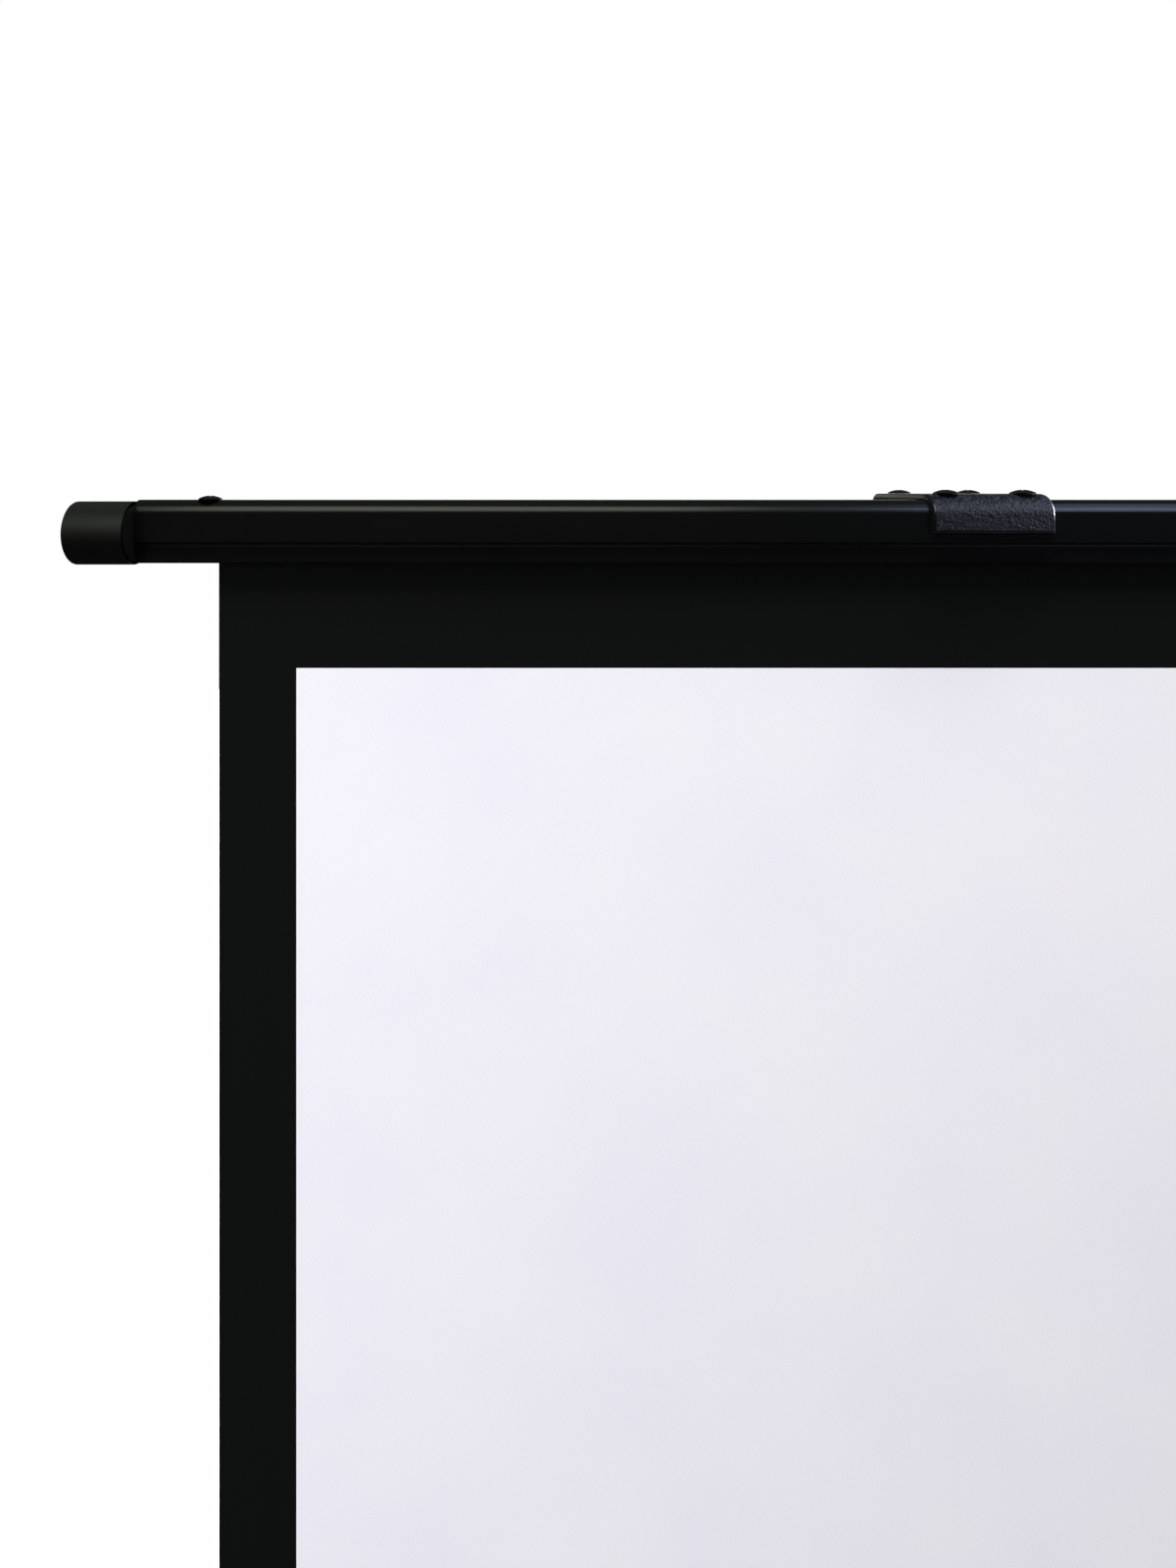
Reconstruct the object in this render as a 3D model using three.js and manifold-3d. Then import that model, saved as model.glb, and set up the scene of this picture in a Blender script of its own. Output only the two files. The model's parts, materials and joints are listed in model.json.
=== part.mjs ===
// A small pull-up projection screen that stands on a table, in millimetres.
// X runs along the bar, the viewer is on the -Y side and Z is up. Z = 0 is the table, X = Y = 0 is the middle
// between the feet. The screen is shown open: the folding arms behind the fabric hold the top bar up.

import * as THREE from 'three';
import Module from 'manifold-3d';
import { mergeVertices } from 'three/addons/utils/BufferGeometryUtils.js';

const wasm = await Module();
wasm.setup();

// Picture and border
const PICTURE_WIDTH = 711;
const PICTURE_HEIGHT = 533;
const SIDE_BORDER = 40;
const TOP_BORDER = 54.5;
const BOTTOM_BORDER = 30;
const FABRIC_THICKNESS = 0.6;
const FABRIC_Y = -9;

// Clearances
const SEAT_GAP = 0.3;
const RUNNING_GAP = 0.6;
const OVERRUN = 2;

// Top bar
const BAR_OVERHANG = 71.5;
const BAR_DEPTH = 12;
const BAR_HEIGHT = 32.5;
const BAR_WALL = 1.6;
const NECK_HEIGHT = 9;
const NECK_DEPTH = 8.4;
const GROOVE_HEIGHT = 1.6;
const GROOVE_DEPTH = 6.6;
const SPLINE_RADIUS = 2;
const SPLINE_HEIGHT = 4.6;
const SLIT_WIDTH = 1.8;

// Round caps on the ends of the bar
const BAR_CAP_RADIUS = 16.2;
const BAR_CAP_LENGTH = 30;
const BAR_CAP_PLUG = 20;
const BAR_CAP_FILLET = 1;
const BAR_CAP_RISE = 15.5;
const BAR_CAP_FORWARD = 3.5;

// Saddle bracket over the middle of the bar
const SADDLE_WIDTH = 62;
const SADDLE_SHEET = 2.75;
const SADDLE_REACH = 66;
const SADDLE_FRONT_DROP = 20;
const SADDLE_REAR_DROP = 15;
const SADDLE_REAR_BEND = 6;
const SADDLE_SCREW_SPACING = 39.8;
const SADDLE_ROW_SPACING = 47;

// Truss-head screws, five millimetres
const SCREW_HEAD_RADIUS = 5.9;
const SCREW_HEAD_HEIGHT = 2.1;
const SCREW_RADIUS = 2.5;
const SCREW_BITE = 7;
const SCREW_RIM = 0.5;
const BAR_END_SCREW_INSET = 67;
const NUT_BAR_LENGTH = 56;
const NUT_BAR_THICKNESS = 3;

// Folding arms
const REST_LEAN = THREE.MathUtils.degToRad(10);
const FOLDED_LEAN = THREE.MathUtils.degToRad(86);
const ARM_WIDTH = 18;
const ARM_DEPTH = 8;
const ARM_WALL = 2;
const ARM_EYE_RADIUS = 11;
const ARM_POCKET_END = 20;
const FRONT_ARM_Y = 24;
const REAR_ARM_Y = 36;
const PIVOT_RADIUS = 3;
const RIVET_HEAD_RADIUS = 5;
const RIVET_HEAD_HEIGHT = 1.8;

// Gear sectors on the arms, involute teeth
const GEAR_TEETH = 20;
const GEAR_MODULE = 2;
const GEAR_BACKLASH = 0.35;
const GEAR_ROOT_CLEARANCE = 0.5;
const GEAR_PRESSURE_ANGLE = THREE.MathUtils.degToRad(20);

// Yokes that hold the pivots
const YOKE_WIDTH = 60;
const YOKE_SHEET = 2.5;
const YOKE_WEB = 4;
const YOKE_EDGE = 9;
const YOKE_CORNER = 6;
const YOKE_BEND = 2.5;
const TOP_PIVOT_RISE = 2;
const LOWER_PIVOT_RISE = 29.7;
const LOWER_YOKE_SCREW_SPACING = 28;
const PAN_HEAD_RADIUS = 4;
const PAN_HEAD_HEIGHT = 2.4;
const PAN_SCREW_RADIUS = 2;

// Case
const ROLL_CLEARANCE = 6.95;
const YOKE_CLEARANCE = 0.7;
const CASE_HEIGHT = 68;
const CASE_WALL = 2.2;
const CASE_FRONT_RADIUS = 16;
const CASE_CORNER_RADIUS = 5;
const PARTITION_Y = 10;
const SLOT_WIDTH = 9;
const SEAL_WIDTH = 3;
const SEAL_HEIGHT = 5;
const SEAL_LIP = 1.2;
const CASE_CAP_PLATE = 6;
const CASE_CAP_BEVEL = 1.2;
const CRADLE_RISE = 14;
const CRADLE_GAP = 1;
const CRADLE_WALL = 4;
const CASE_SCREW_INSET = 5.8;
const CASE_SCREW_PORT = 4;
const CASE_SCREW_RADIUS = 1.6;
const CASE_SCREW_HEAD_RADIUS = 3.6;
const CASE_SCREW_HEAD_HEIGHT = 2.2;
const CASE_SCREW_LENGTH = 16;

// Roller in the case
const ROLL_RADIUS = 13.6;
const ROLLER_RADIUS = 11.8;
const ROLLER_WALL = 1.2;
const ROLLER_OVERHANG = 12;
const ROLLER_RISE = 33;
const ROLL_GAP = 0.35;
const PLUG_LENGTH = 22;
const PLUG_FLANGE = 2;
const ROLLER_PIN_RADIUS = 3;
const BOSS_RADIUS = 7.5;
const SPRING_RADIUS = 7;
const SPRING_WALL = 1.6;
const SPRING_LENGTH = 300;

// Feet
const FOOT_INSET = 137;
const FOOT_LENGTH = 250;
const FOOT_WIDTH = 28;
const FOOT_HUB_RADIUS = 19;
const FOOT_THICKNESS = 7;
const FOOT_BEVEL = 1.2;
const PAD_RADIUS = 9;
const PAD_HEIGHT = 4;
const PAD_FILLET = 0.8;
const WASHER_RADIUS = 14;
const WASHER_THICKNESS = 2;
const FOOT_BOLT_RADIUS = 3;
const FOOT_BOLT_HEAD_RADIUS = 6;
const FOOT_BOLT_HEAD_HEIGHT = 3;
const FOOT_NUT_RADIUS = 5.8;
const FOOT_NUT_HEIGHT = 5;

// Heights and places that follow from the sizes above
const FABRIC_WIDTH = PICTURE_WIDTH + 2 * SIDE_BORDER;
const BAR_SPAN = FABRIC_WIDTH + 2 * BAR_OVERHANG;
const FOOT_BOTTOM_Z = PAD_HEIGHT + SEAT_GAP;
const FOOT_TOP_Z = FOOT_BOTTOM_Z + FOOT_THICKNESS;
const WASHER_BOTTOM_Z = FOOT_TOP_Z + SEAT_GAP;
const CASE_BOTTOM_Z = WASHER_BOTTOM_Z + WASHER_THICKNESS + SEAT_GAP;
const CASE_TOP_Z = CASE_BOTTOM_Z + CASE_HEIGHT;
const BAR_BOTTOM_Z = CASE_TOP_Z + BOTTOM_BORDER + PICTURE_HEIGHT + TOP_BORDER;
const BAR_TOP_Z = BAR_BOTTOM_Z + BAR_HEIGHT;
const BAR_CAP_Z = BAR_BOTTOM_Z + BAR_CAP_RISE;
const BAR_CAP_Y = FABRIC_Y - BAR_CAP_FORWARD;
const SADDLE_FRONT_BEND = BAR_DEPTH / 2 + SEAT_GAP + SADDLE_SHEET;
const SADDLE_FRONT_Y = FABRIC_Y - BAR_DEPTH / 2 - SEAT_GAP - SADDLE_SHEET;
const SADDLE_TOP_Z = BAR_TOP_Z + SEAT_GAP + SADDLE_SHEET;
const SADDLE_REAR_ROW_Y = FABRIC_Y + SADDLE_ROW_SPACING;
const TOP_PIVOT_Z = BAR_BOTTOM_Z + TOP_PIVOT_RISE;
const LOWER_PIVOT_Z = CASE_BOTTOM_Z + LOWER_PIVOT_RISE;
const ARM_LENGTH = (TOP_PIVOT_Z - LOWER_PIVOT_Z) / (2 * Math.cos(REST_LEAN));
const FOLD_TRAVEL = 2 * ARM_LENGTH * (Math.cos(REST_LEAN) - Math.cos(FOLDED_LEAN));
const PIVOT_X = GEAR_TEETH * GEAR_MODULE / 2;
const ROLLER_Y = FABRIC_Y - FABRIC_THICKNESS / 2 - ROLL_GAP - ROLL_RADIUS;
const ROLLER_Z = CASE_BOTTOM_Z + ROLLER_RISE;
const YOKE_REACH = ARM_DEPTH / 2 + RUNNING_GAP + YOKE_SHEET;
const CASE_FRONT_Y = ROLLER_Y - ROLL_RADIUS - ROLL_CLEARANCE - CASE_WALL;
const CASE_REAR_Y = REAR_ARM_Y + YOKE_REACH + YOKE_CLEARANCE + CASE_WALL;
const ROLLER_LENGTH = FABRIC_WIDTH + 2 * ROLLER_OVERHANG;
const CASE_LENGTH = BAR_SPAN - 2 * (CASE_CAP_PLATE + SEAT_GAP);
const FOOT_X = BAR_SPAN / 2 - FOOT_INSET;
const SIDES = [[-1, 'left'], [1, 'right']];

// Counts of facets
const ROUND_FACETS = 28;
const SMALL_FACETS = 14;
const SCREW_FACETS = 10;
const ARC_FACETS = 4;

const FINISHES = {
  bar: { color: 0x141518, roughness: 0.38, metalness: 0.2 },
  cap: { color: 0x17181a, roughness: 0.7, metalness: 0 },
  saddle: { color: 0x18191c, roughness: 0.55, metalness: 0.3 },
  screw: { color: 0x1d1e21, roughness: 0.4, metalness: 0.7 },
  steel: { color: 0x9a9ea3, roughness: 0.35, metalness: 1 },
  arm: { color: 0x1b1c1f, roughness: 0.5, metalness: 0.3 },
  case: { color: 0x141518, roughness: 0.42, metalness: 0.2 },
  roller: { color: 0xb9bcc0, roughness: 0.4, metalness: 1 },
  fabric: { color: 0xf0eef3, roughness: 0.9, metalness: 0 },
  backing: { color: 0x101112, roughness: 0.9, metalness: 0 },
  rubber: { color: 0x121212, roughness: 0.85, metalness: 0 },
  nylon: { color: 0xd8d8d2, roughness: 0.5, metalness: 0 },
};

const screen = new THREE.Group();

function place(name, geometry, finish, position = [0, 0, 0], turn = [0, 0, 0]) {
  const mesh = new THREE.Mesh(geometry, new THREE.MeshStandardMaterial(FINISHES[finish]));
  mesh.name = name;
  mesh.position.set(...position);
  mesh.rotation.set(...turn);
  screen.add(mesh);
  return mesh;
}

// Solids are joined and cut on their merged corners.
function solidOf(geometry) {
  const bare = geometry.clone();
  bare.deleteAttribute('normal');
  bare.deleteAttribute('uv');
  const merged = mergeVertices(bare);
  return new wasm.Manifold(new wasm.Mesh({
    numProp: 3,
    vertProperties: new Float32Array(merged.attributes.position.array),
    triVerts: new Uint32Array(merged.index.array),
  }));
}

function geometryOf(solid) {
  const mesh = solid.getMesh();
  const geometry = new THREE.BufferGeometry();
  geometry.setAttribute('position', new THREE.BufferAttribute(mesh.vertProperties, 3));
  geometry.setIndex(new THREE.BufferAttribute(mesh.triVerts, 1));
  geometry.computeVertexNormals();
  return geometry;
}

function carve(base, { add = [], cut = [] }) {
  let solid = solidOf(base);
  for (const piece of add) {
    solid = solid.add(solidOf(piece));
  }
  for (const piece of cut) {
    solid = solid.subtract(solidOf(piece));
  }
  return geometryOf(solid);
}

// Extrudes a section drawn in Y and Z along X, centred on X = 0.
function alongX(section, length, curveSegments = ARC_FACETS) {
  const geometry = new THREE.ExtrudeGeometry(section, { depth: length, bevelEnabled: false, curveSegments });
  geometry.translate(0, 0, -length / 2);
  const turn = new THREE.Matrix4().makeBasis(
    new THREE.Vector3(0, 1, 0),
    new THREE.Vector3(0, 0, 1),
    new THREE.Vector3(1, 0, 0),
  );
  return geometry.applyMatrix4(turn);
}

// Extrudes an outline drawn in X and Z from front to back, between two places on Y.
function alongY(outline, front, back, curveSegments = ARC_FACETS) {
  const geometry = new THREE.ExtrudeGeometry(outline, {
    depth: back - front,
    bevelEnabled: false,
    curveSegments,
  });
  return geometry.rotateX(Math.PI / 2).translate(0, back, 0);
}

function alongZ(outline, bottom, top, curveSegments = ARC_FACETS) {
  const geometry = new THREE.ExtrudeGeometry(outline, {
    depth: top - bottom,
    bevelEnabled: false,
    curveSegments,
  });
  return geometry.translate(0, 0, bottom);
}

function circle(radius, x = 0, y = 0) {
  return new THREE.Shape().absarc(x, y, radius, 0, 2 * Math.PI);
}

// A round bar along X, Y or Z between two places on that axis.
function roundBar(axis, radius, from, to, across = [0, 0], facets = SMALL_FACETS) {
  const geometry = new THREE.CylinderGeometry(radius, radius, to - from, facets);
  geometry.translate(0, (from + to) / 2, 0);
  if (axis === 'x') {
    return geometry.rotateZ(-Math.PI / 2).translate(0, across[0], across[1]);
  }
  if (axis === 'z') {
    return geometry.rotateX(Math.PI / 2).translate(across[0], across[1], 0);
  }
  return geometry.translate(across[0], 0, across[1]);
}

// Turns a half outline, given as radius and height pairs, round the Z axis.
function revolve(points, facets = SMALL_FACETS) {
  const geometry = new THREE.LatheGeometry(points.map(([r, h]) => new THREE.Vector2(r, h)), facets);
  return geometry.rotateX(Math.PI / 2);
}

function arcPoints(centreX, centreY, radius, from, to, steps) {
  const points = [];
  for (let i = 0; i <= steps; i += 1) {
    const angle = from + (to - from) * i / steps;
    points.push([centreX + radius * Math.cos(angle), centreY + radius * Math.sin(angle)]);
  }
  return points;
}

function outlineOf(points) {
  return new THREE.Shape(points.map(([x, y]) => new THREE.Vector2(x, y)));
}

function rectangle(x0, y0, x1, y1, radius = 0) {
  if (!radius) {
    return outlineOf([[x0, y0], [x1, y0], [x1, y1], [x0, y1]]);
  }
  return outlineOf([
    ...arcPoints(x1 - radius, y0 + radius, radius, -Math.PI / 2, 0, ARC_FACETS),
    ...arcPoints(x1 - radius, y1 - radius, radius, 0, Math.PI / 2, ARC_FACETS),
    ...arcPoints(x0 + radius, y1 - radius, radius, Math.PI / 2, Math.PI, ARC_FACETS),
    ...arcPoints(x0 + radius, y0 + radius, radius, Math.PI, 1.5 * Math.PI, ARC_FACETS),
  ]);
}

// The bar's section, in Y and Z from the middle of its foot.
function barSection() {
  const half = BAR_DEPTH / 2;
  const neck = NECK_DEPTH / 2;
  const groove = GROOVE_DEPTH / 2;
  const shoulder = NECK_HEIGHT + GROOVE_HEIGHT;
  const section = outlineOf([
    [neck, 0],
    [neck, NECK_HEIGHT],
    [groove, NECK_HEIGHT],
    [groove, shoulder],
    [half, shoulder],
    ...arcPoints(0, BAR_HEIGHT - half, half, 0, Math.PI, 2 * ARC_FACETS),
    [-half, shoulder],
    [-groove, shoulder],
    [-groove, NECK_HEIGHT],
    [-neck, NECK_HEIGHT],
    [-neck, 0],
  ]);
  section.holes.push(outlineOf(chamberOutline(0)));
  return section;
}

// The hollow above the groove, drawn smaller all round by a gap for what is pushed into it.
function chamberOutline(gap) {
  const half = BAR_DEPTH / 2;
  const inner = half - BAR_WALL - gap;
  const floor = NECK_HEIGHT + GROOVE_HEIGHT + BAR_WALL + gap;
  return [
    [inner, floor],
    ...arcPoints(0, BAR_HEIGHT - half, inner, 0, Math.PI, 2 * ARC_FACETS),
    [-inner, floor],
  ];
}

function trussScrew(length) {
  const dome = SCREW_HEAD_HEIGHT - SCREW_RIM;
  const ball = (SCREW_HEAD_RADIUS ** 2 + dome ** 2) / (2 * dome);
  const sweep = Math.asin(SCREW_HEAD_RADIUS / ball);
  const crown = [];
  for (let i = ARC_FACETS - 1; i >= 0; i -= 1) {
    const angle = sweep * i / ARC_FACETS;
    crown.push([ball * Math.sin(angle), SCREW_RIM + dome - ball * (1 - Math.cos(angle))]);
  }
  return revolve([
    [0, -length],
    [SCREW_RADIUS, -length],
    [SCREW_RADIUS, 0],
    [SCREW_HEAD_RADIUS, 0],
    [SCREW_HEAD_RADIUS, SCREW_RIM],
    ...crown,
  ]);
}

function panScrew(headRadius, headHeight, radius, length) {
  const edge = headHeight / 2;
  return revolve([
    [0, -length],
    [radius, -length],
    [radius, 0],
    [headRadius, 0],
    [headRadius, edge],
    [headRadius - edge, headHeight],
    [0, headHeight],
  ], SCREW_FACETS);
}

// A rivet along Y, its formed heads bearing on both outer faces.
function rivet(front, back) {
  const dome = RIVET_HEAD_HEIGHT / 2;
  const shape = revolve([
    [0, front - SEAT_GAP - RIVET_HEAD_HEIGHT],
    [RIVET_HEAD_RADIUS - dome, front - SEAT_GAP - RIVET_HEAD_HEIGHT],
    [RIVET_HEAD_RADIUS, front - SEAT_GAP - dome],
    [RIVET_HEAD_RADIUS, front - SEAT_GAP],
    [PIVOT_RADIUS, front - SEAT_GAP],
    [PIVOT_RADIUS, back + SEAT_GAP],
    [RIVET_HEAD_RADIUS, back + SEAT_GAP],
    [RIVET_HEAD_RADIUS, back + SEAT_GAP + dome],
    [RIVET_HEAD_RADIUS - dome, back + SEAT_GAP + RIVET_HEAD_HEIGHT],
    [0, back + SEAT_GAP + RIVET_HEAD_HEIGHT],
  ]);
  return shape.rotateX(-Math.PI / 2);
}

function addTopBar() {
  const barLength = BAR_SPAN - 2 * (BAR_CAP_LENGTH + SEAT_GAP);
  const screwHole = SCREW_RADIUS + SEAT_GAP;
  const endScrewX = BAR_SPAN / 2 - BAR_END_SCREW_INSET;
  const screwXs = [-endScrewX, -SADDLE_SCREW_SPACING / 2, SADDLE_SCREW_SPACING / 2, endScrewX];
  const chamberTop = BAR_HEIGHT - BAR_DEPTH / 2;
  const splineBore = SPLINE_RADIUS + FABRIC_THICKNESS + SEAT_GAP;
  const bar = carve(alongX(barSection(), barLength), { cut: [
    roundBar('x', splineBore, -barLength, barLength, [0, SPLINE_HEIGHT]),
    alongX(rectangle(-SLIT_WIDTH / 2, -OVERRUN, SLIT_WIDTH / 2, SPLINE_HEIGHT), barLength + OVERRUN),
    ...screwXs.map((x) => roundBar('z', screwHole, chamberTop, BAR_HEIGHT + OVERRUN, [x, 0])),
  ] });
  place('top_bar', bar, 'bar', [0, FABRIC_Y, BAR_BOTTOM_Z]);

  const spline = roundBar('x', SPLINE_RADIUS, -FABRIC_WIDTH / 2, FABRIC_WIDTH / 2);
  place('fabric_spline', spline, 'nylon', [0, FABRIC_Y, BAR_BOTTOM_Z + SPLINE_HEIGHT]);

  for (const [side, word] of SIDES) {
    const endScrew = trussScrew(SCREW_BITE);
    const screwZ = BAR_TOP_Z + SEAT_GAP;
    place(`bar_end_screw_${word}`, endScrew, 'screw', [side * endScrewX, FABRIC_Y, screwZ]);
    addBarCap(side, word);
  }
}

// A round cap against the end of the bar, with a plug that is pushed into the bar's hollow.
function addBarCap(side, word) {
  const body = revolve([
    [0, 0],
    [BAR_CAP_RADIUS - BAR_CAP_FILLET, 0],
    ...arcPoints(BAR_CAP_RADIUS - BAR_CAP_FILLET, BAR_CAP_FILLET, BAR_CAP_FILLET, -Math.PI / 3, 0, 2),
    [BAR_CAP_RADIUS, BAR_CAP_LENGTH - BAR_CAP_FILLET / 2],
    [BAR_CAP_RADIUS - BAR_CAP_FILLET / 2, BAR_CAP_LENGTH],
    [0, BAR_CAP_LENGTH],
  ], ROUND_FACETS);
  body.rotateY(Math.PI / 2);
  const plugLength = BAR_CAP_PLUG + OVERRUN;
  const plug = alongX(outlineOf(chamberOutline(SEAT_GAP)), plugLength);
  plug.translate(BAR_CAP_LENGTH + BAR_CAP_PLUG - plugLength / 2, BAR_CAP_FORWARD, -BAR_CAP_RISE);
  const cap = carve(body, { add: [plug] });
  const position = [side * BAR_SPAN / 2, BAR_CAP_Y, BAR_CAP_Z];
  place(`bar_end_cap_${word}`, side < 0 ? cap : turnedEnd(cap), 'cap', position);
}

// The saddle's section, in Y from its front face and Z down from its top.
function saddleSection() {
  const sheet = SADDLE_SHEET;
  const front = SADDLE_FRONT_BEND;
  const rear = SADDLE_REAR_BEND;
  const reach = SADDLE_REACH;
  return outlineOf([
    [0, -SADDLE_FRONT_DROP],
    [sheet, -SADDLE_FRONT_DROP],
    ...arcPoints(front, -front, front - sheet, Math.PI, Math.PI / 2, ARC_FACETS),
    ...arcPoints(reach - rear, -rear, rear - sheet, Math.PI / 2, 0, ARC_FACETS),
    [reach - sheet, -SADDLE_REAR_DROP],
    [reach, -SADDLE_REAR_DROP],
    ...arcPoints(reach - rear, -rear, rear, 0, Math.PI / 2, ARC_FACETS),
    ...arcPoints(front, -front, front, Math.PI / 2, Math.PI, ARC_FACETS),
  ]);
}

function addSaddle() {
  const body = alongX(saddleSection(), SADDLE_WIDTH);
  body.translate(0, SADDLE_FRONT_Y, SADDLE_TOP_Z);
  const rows = [['front', FABRIC_Y], ['rear', SADDLE_REAR_ROW_Y]];
  const holes = [];
  for (const [, y] of rows) {
    for (const [side] of SIDES) {
      const x = side * SADDLE_SCREW_SPACING / 2;
      const bottom = SADDLE_TOP_Z - SADDLE_SHEET - OVERRUN;
      holes.push(roundBar('z', SCREW_RADIUS + SEAT_GAP, bottom, SADDLE_TOP_Z + OVERRUN, [x, y]));
    }
  }
  place('saddle_bracket', carve(body, { cut: holes }), 'saddle');
  for (const [row, y] of rows) {
    for (const [side, word] of SIDES) {
      const position = [side * SADDLE_SCREW_SPACING / 2, y, SADDLE_TOP_Z + SEAT_GAP];
      place(`saddle_screw_${row}_${word}`, trussScrew(SCREW_BITE), 'screw', position);
    }
  }
  addNutBar();
}

function addNutBar() {
  const half = BAR_DEPTH / 2 - BAR_WALL - SEAT_GAP;
  const top = BAR_TOP_Z - BAR_DEPTH / 2;
  const strip = alongX(rectangle(-half, -NUT_BAR_THICKNESS, half, 0), NUT_BAR_LENGTH);
  const holes = SIDES.map(([side]) => roundBar(
    'z',
    SCREW_RADIUS + SEAT_GAP,
    -NUT_BAR_THICKNESS - OVERRUN,
    OVERRUN,
    [side * SADDLE_SCREW_SPACING / 2, 0],
  ));
  place('saddle_nut_bar', carve(strip, { cut: holes }), 'steel', [0, FABRIC_Y, top]);
}

// Teeth of one sector, in the arm's own plane, as points from the first flank to the last.
function toothPoints(centre) {
  const pitch = GEAR_TEETH * GEAR_MODULE / 2;
  const base = pitch * Math.cos(GEAR_PRESSURE_ANGLE);
  const tip = pitch + GEAR_MODULE;
  const root = pitch - GEAR_MODULE - GEAR_ROOT_CLEARANCE;
  const involute = (radius) => {
    const angle = Math.acos(Math.min(1, base / radius));
    return Math.tan(angle) - angle;
  };
  const halfAtPitch = Math.PI / (2 * GEAR_TEETH) - GEAR_BACKLASH / (2 * pitch);
  const half = (radius) => halfAtPitch + involute(pitch) - involute(Math.max(radius, base));
  const radii = [root, base];
  for (let i = 1; i <= ARC_FACETS / 2; i += 1) {
    radii.push(base + (tip - base) * 2 * i / ARC_FACETS);
  }
  const polar = (radius, angle) => [radius * Math.cos(angle), radius * Math.sin(angle)];
  return [
    ...radii.map((radius) => polar(radius, centre - half(radius))),
    ...radii.reverse().map((radius) => polar(radius, centre + half(radius))),
  ];
}

// The sector covers the turn of the arm and a tooth and a half beyond each end of it.
function sectorOutline(phaseShare) {
  const pitchAngle = 2 * Math.PI / GEAR_TEETH;
  const restMesh = Math.PI / 2 + REST_LEAN;
  const foldedMesh = Math.PI / 2 + FOLDED_LEAN;
  const first = restMesh - (1 - phaseShare) * pitchAngle;
  const points = [[0, 0]];
  for (let angle = first; angle < foldedMesh + pitchAngle; angle += pitchAngle) {
    points.push(...toothPoints(angle));
  }
  return points;
}

// An arm along its own X, from the geared pivot at zero to the elbow eye. The channel opens to the back.
function armGeometry(handedShare, phaseShare) {
  const halfWidth = ARM_WIDTH / 2;
  const front = -ARM_DEPTH / 2;
  const back = ARM_DEPTH / 2;
  const bore = PIVOT_RADIUS + SEAT_GAP;
  const sector = sectorOutline(phaseShare).map(([x, z]) => [x, handedShare * z]);
  if (handedShare < 0) {
    sector.reverse();
  }
  const pocket = rectangle(
    ARM_POCKET_END,
    ARM_WALL - halfWidth,
    ARM_LENGTH - ARM_POCKET_END,
    halfWidth - ARM_WALL,
    halfWidth - ARM_WALL - SEAT_GAP,
  );
  return carve(alongY(rectangle(0, -halfWidth, ARM_LENGTH, halfWidth), front, back), {
    add: [
      alongY(circle(ARM_EYE_RADIUS), front, back, SMALL_FACETS),
      alongY(circle(ARM_EYE_RADIUS, ARM_LENGTH), front, back, SMALL_FACETS),
      alongY(outlineOf(sector), front, back),
    ],
    cut: [
      alongY(pocket, front + ARM_WALL, back + OVERRUN),
      roundBar('y', bore, front - OVERRUN, back + OVERRUN),
      roundBar('y', bore, front - OVERRUN, back + OVERRUN, [ARM_LENGTH, 0]),
    ],
  });
}

function addArms() {
  const elbowX = PIVOT_X + ARM_LENGTH * Math.sin(REST_LEAN);
  const elbowZ = LOWER_PIVOT_Z + ARM_LENGTH * Math.cos(REST_LEAN);
  const armFront = -ARM_DEPTH / 2;
  const layerGap = REAR_ARM_Y - FRONT_ARM_Y - ARM_DEPTH;
  for (const [side, word] of SIDES) {
    // The lower arm and the other side's upper arm are the same part, turned half round.
    const lower = armGeometry(side, side < 0 ? 0 : 1 / 2);
    const upper = armGeometry(-side, side < 0 ? 1 / 2 : 0);
    const lowerAngle = Math.PI / 2 - side * REST_LEAN;
    const upperAngle = -Math.PI / 2 + side * REST_LEAN;
    const lowerPlace = [side * PIVOT_X, FRONT_ARM_Y, LOWER_PIVOT_Z];
    const upperPlace = [side * PIVOT_X, REAR_ARM_Y, TOP_PIVOT_Z];
    place(`lower_arm_${word}`, lower, 'arm', lowerPlace, [0, -lowerAngle, 0]);
    place(`upper_arm_${word}`, upper, 'arm', upperPlace, [0, -upperAngle, 0]);
    const elbow = rivet(FRONT_ARM_Y + armFront, REAR_ARM_Y - armFront);
    place(`elbow_rivet_${word}`, elbow, 'steel', [side * elbowX, 0, elbowZ]);
    const ring = circle(RIVET_HEAD_RADIUS + SEAT_GAP);
    ring.holes.push(circle(PIVOT_RADIUS + SEAT_GAP));
    const spacer = alongY(ring, SEAT_GAP - layerGap / 2, layerGap / 2 - SEAT_GAP, SMALL_FACETS / 2);
    place(`elbow_spacer_${word}`, spacer, 'nylon', [side * elbowX, (FRONT_ARM_Y + REAR_ARM_Y) / 2, elbowZ]);
  }
}

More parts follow.
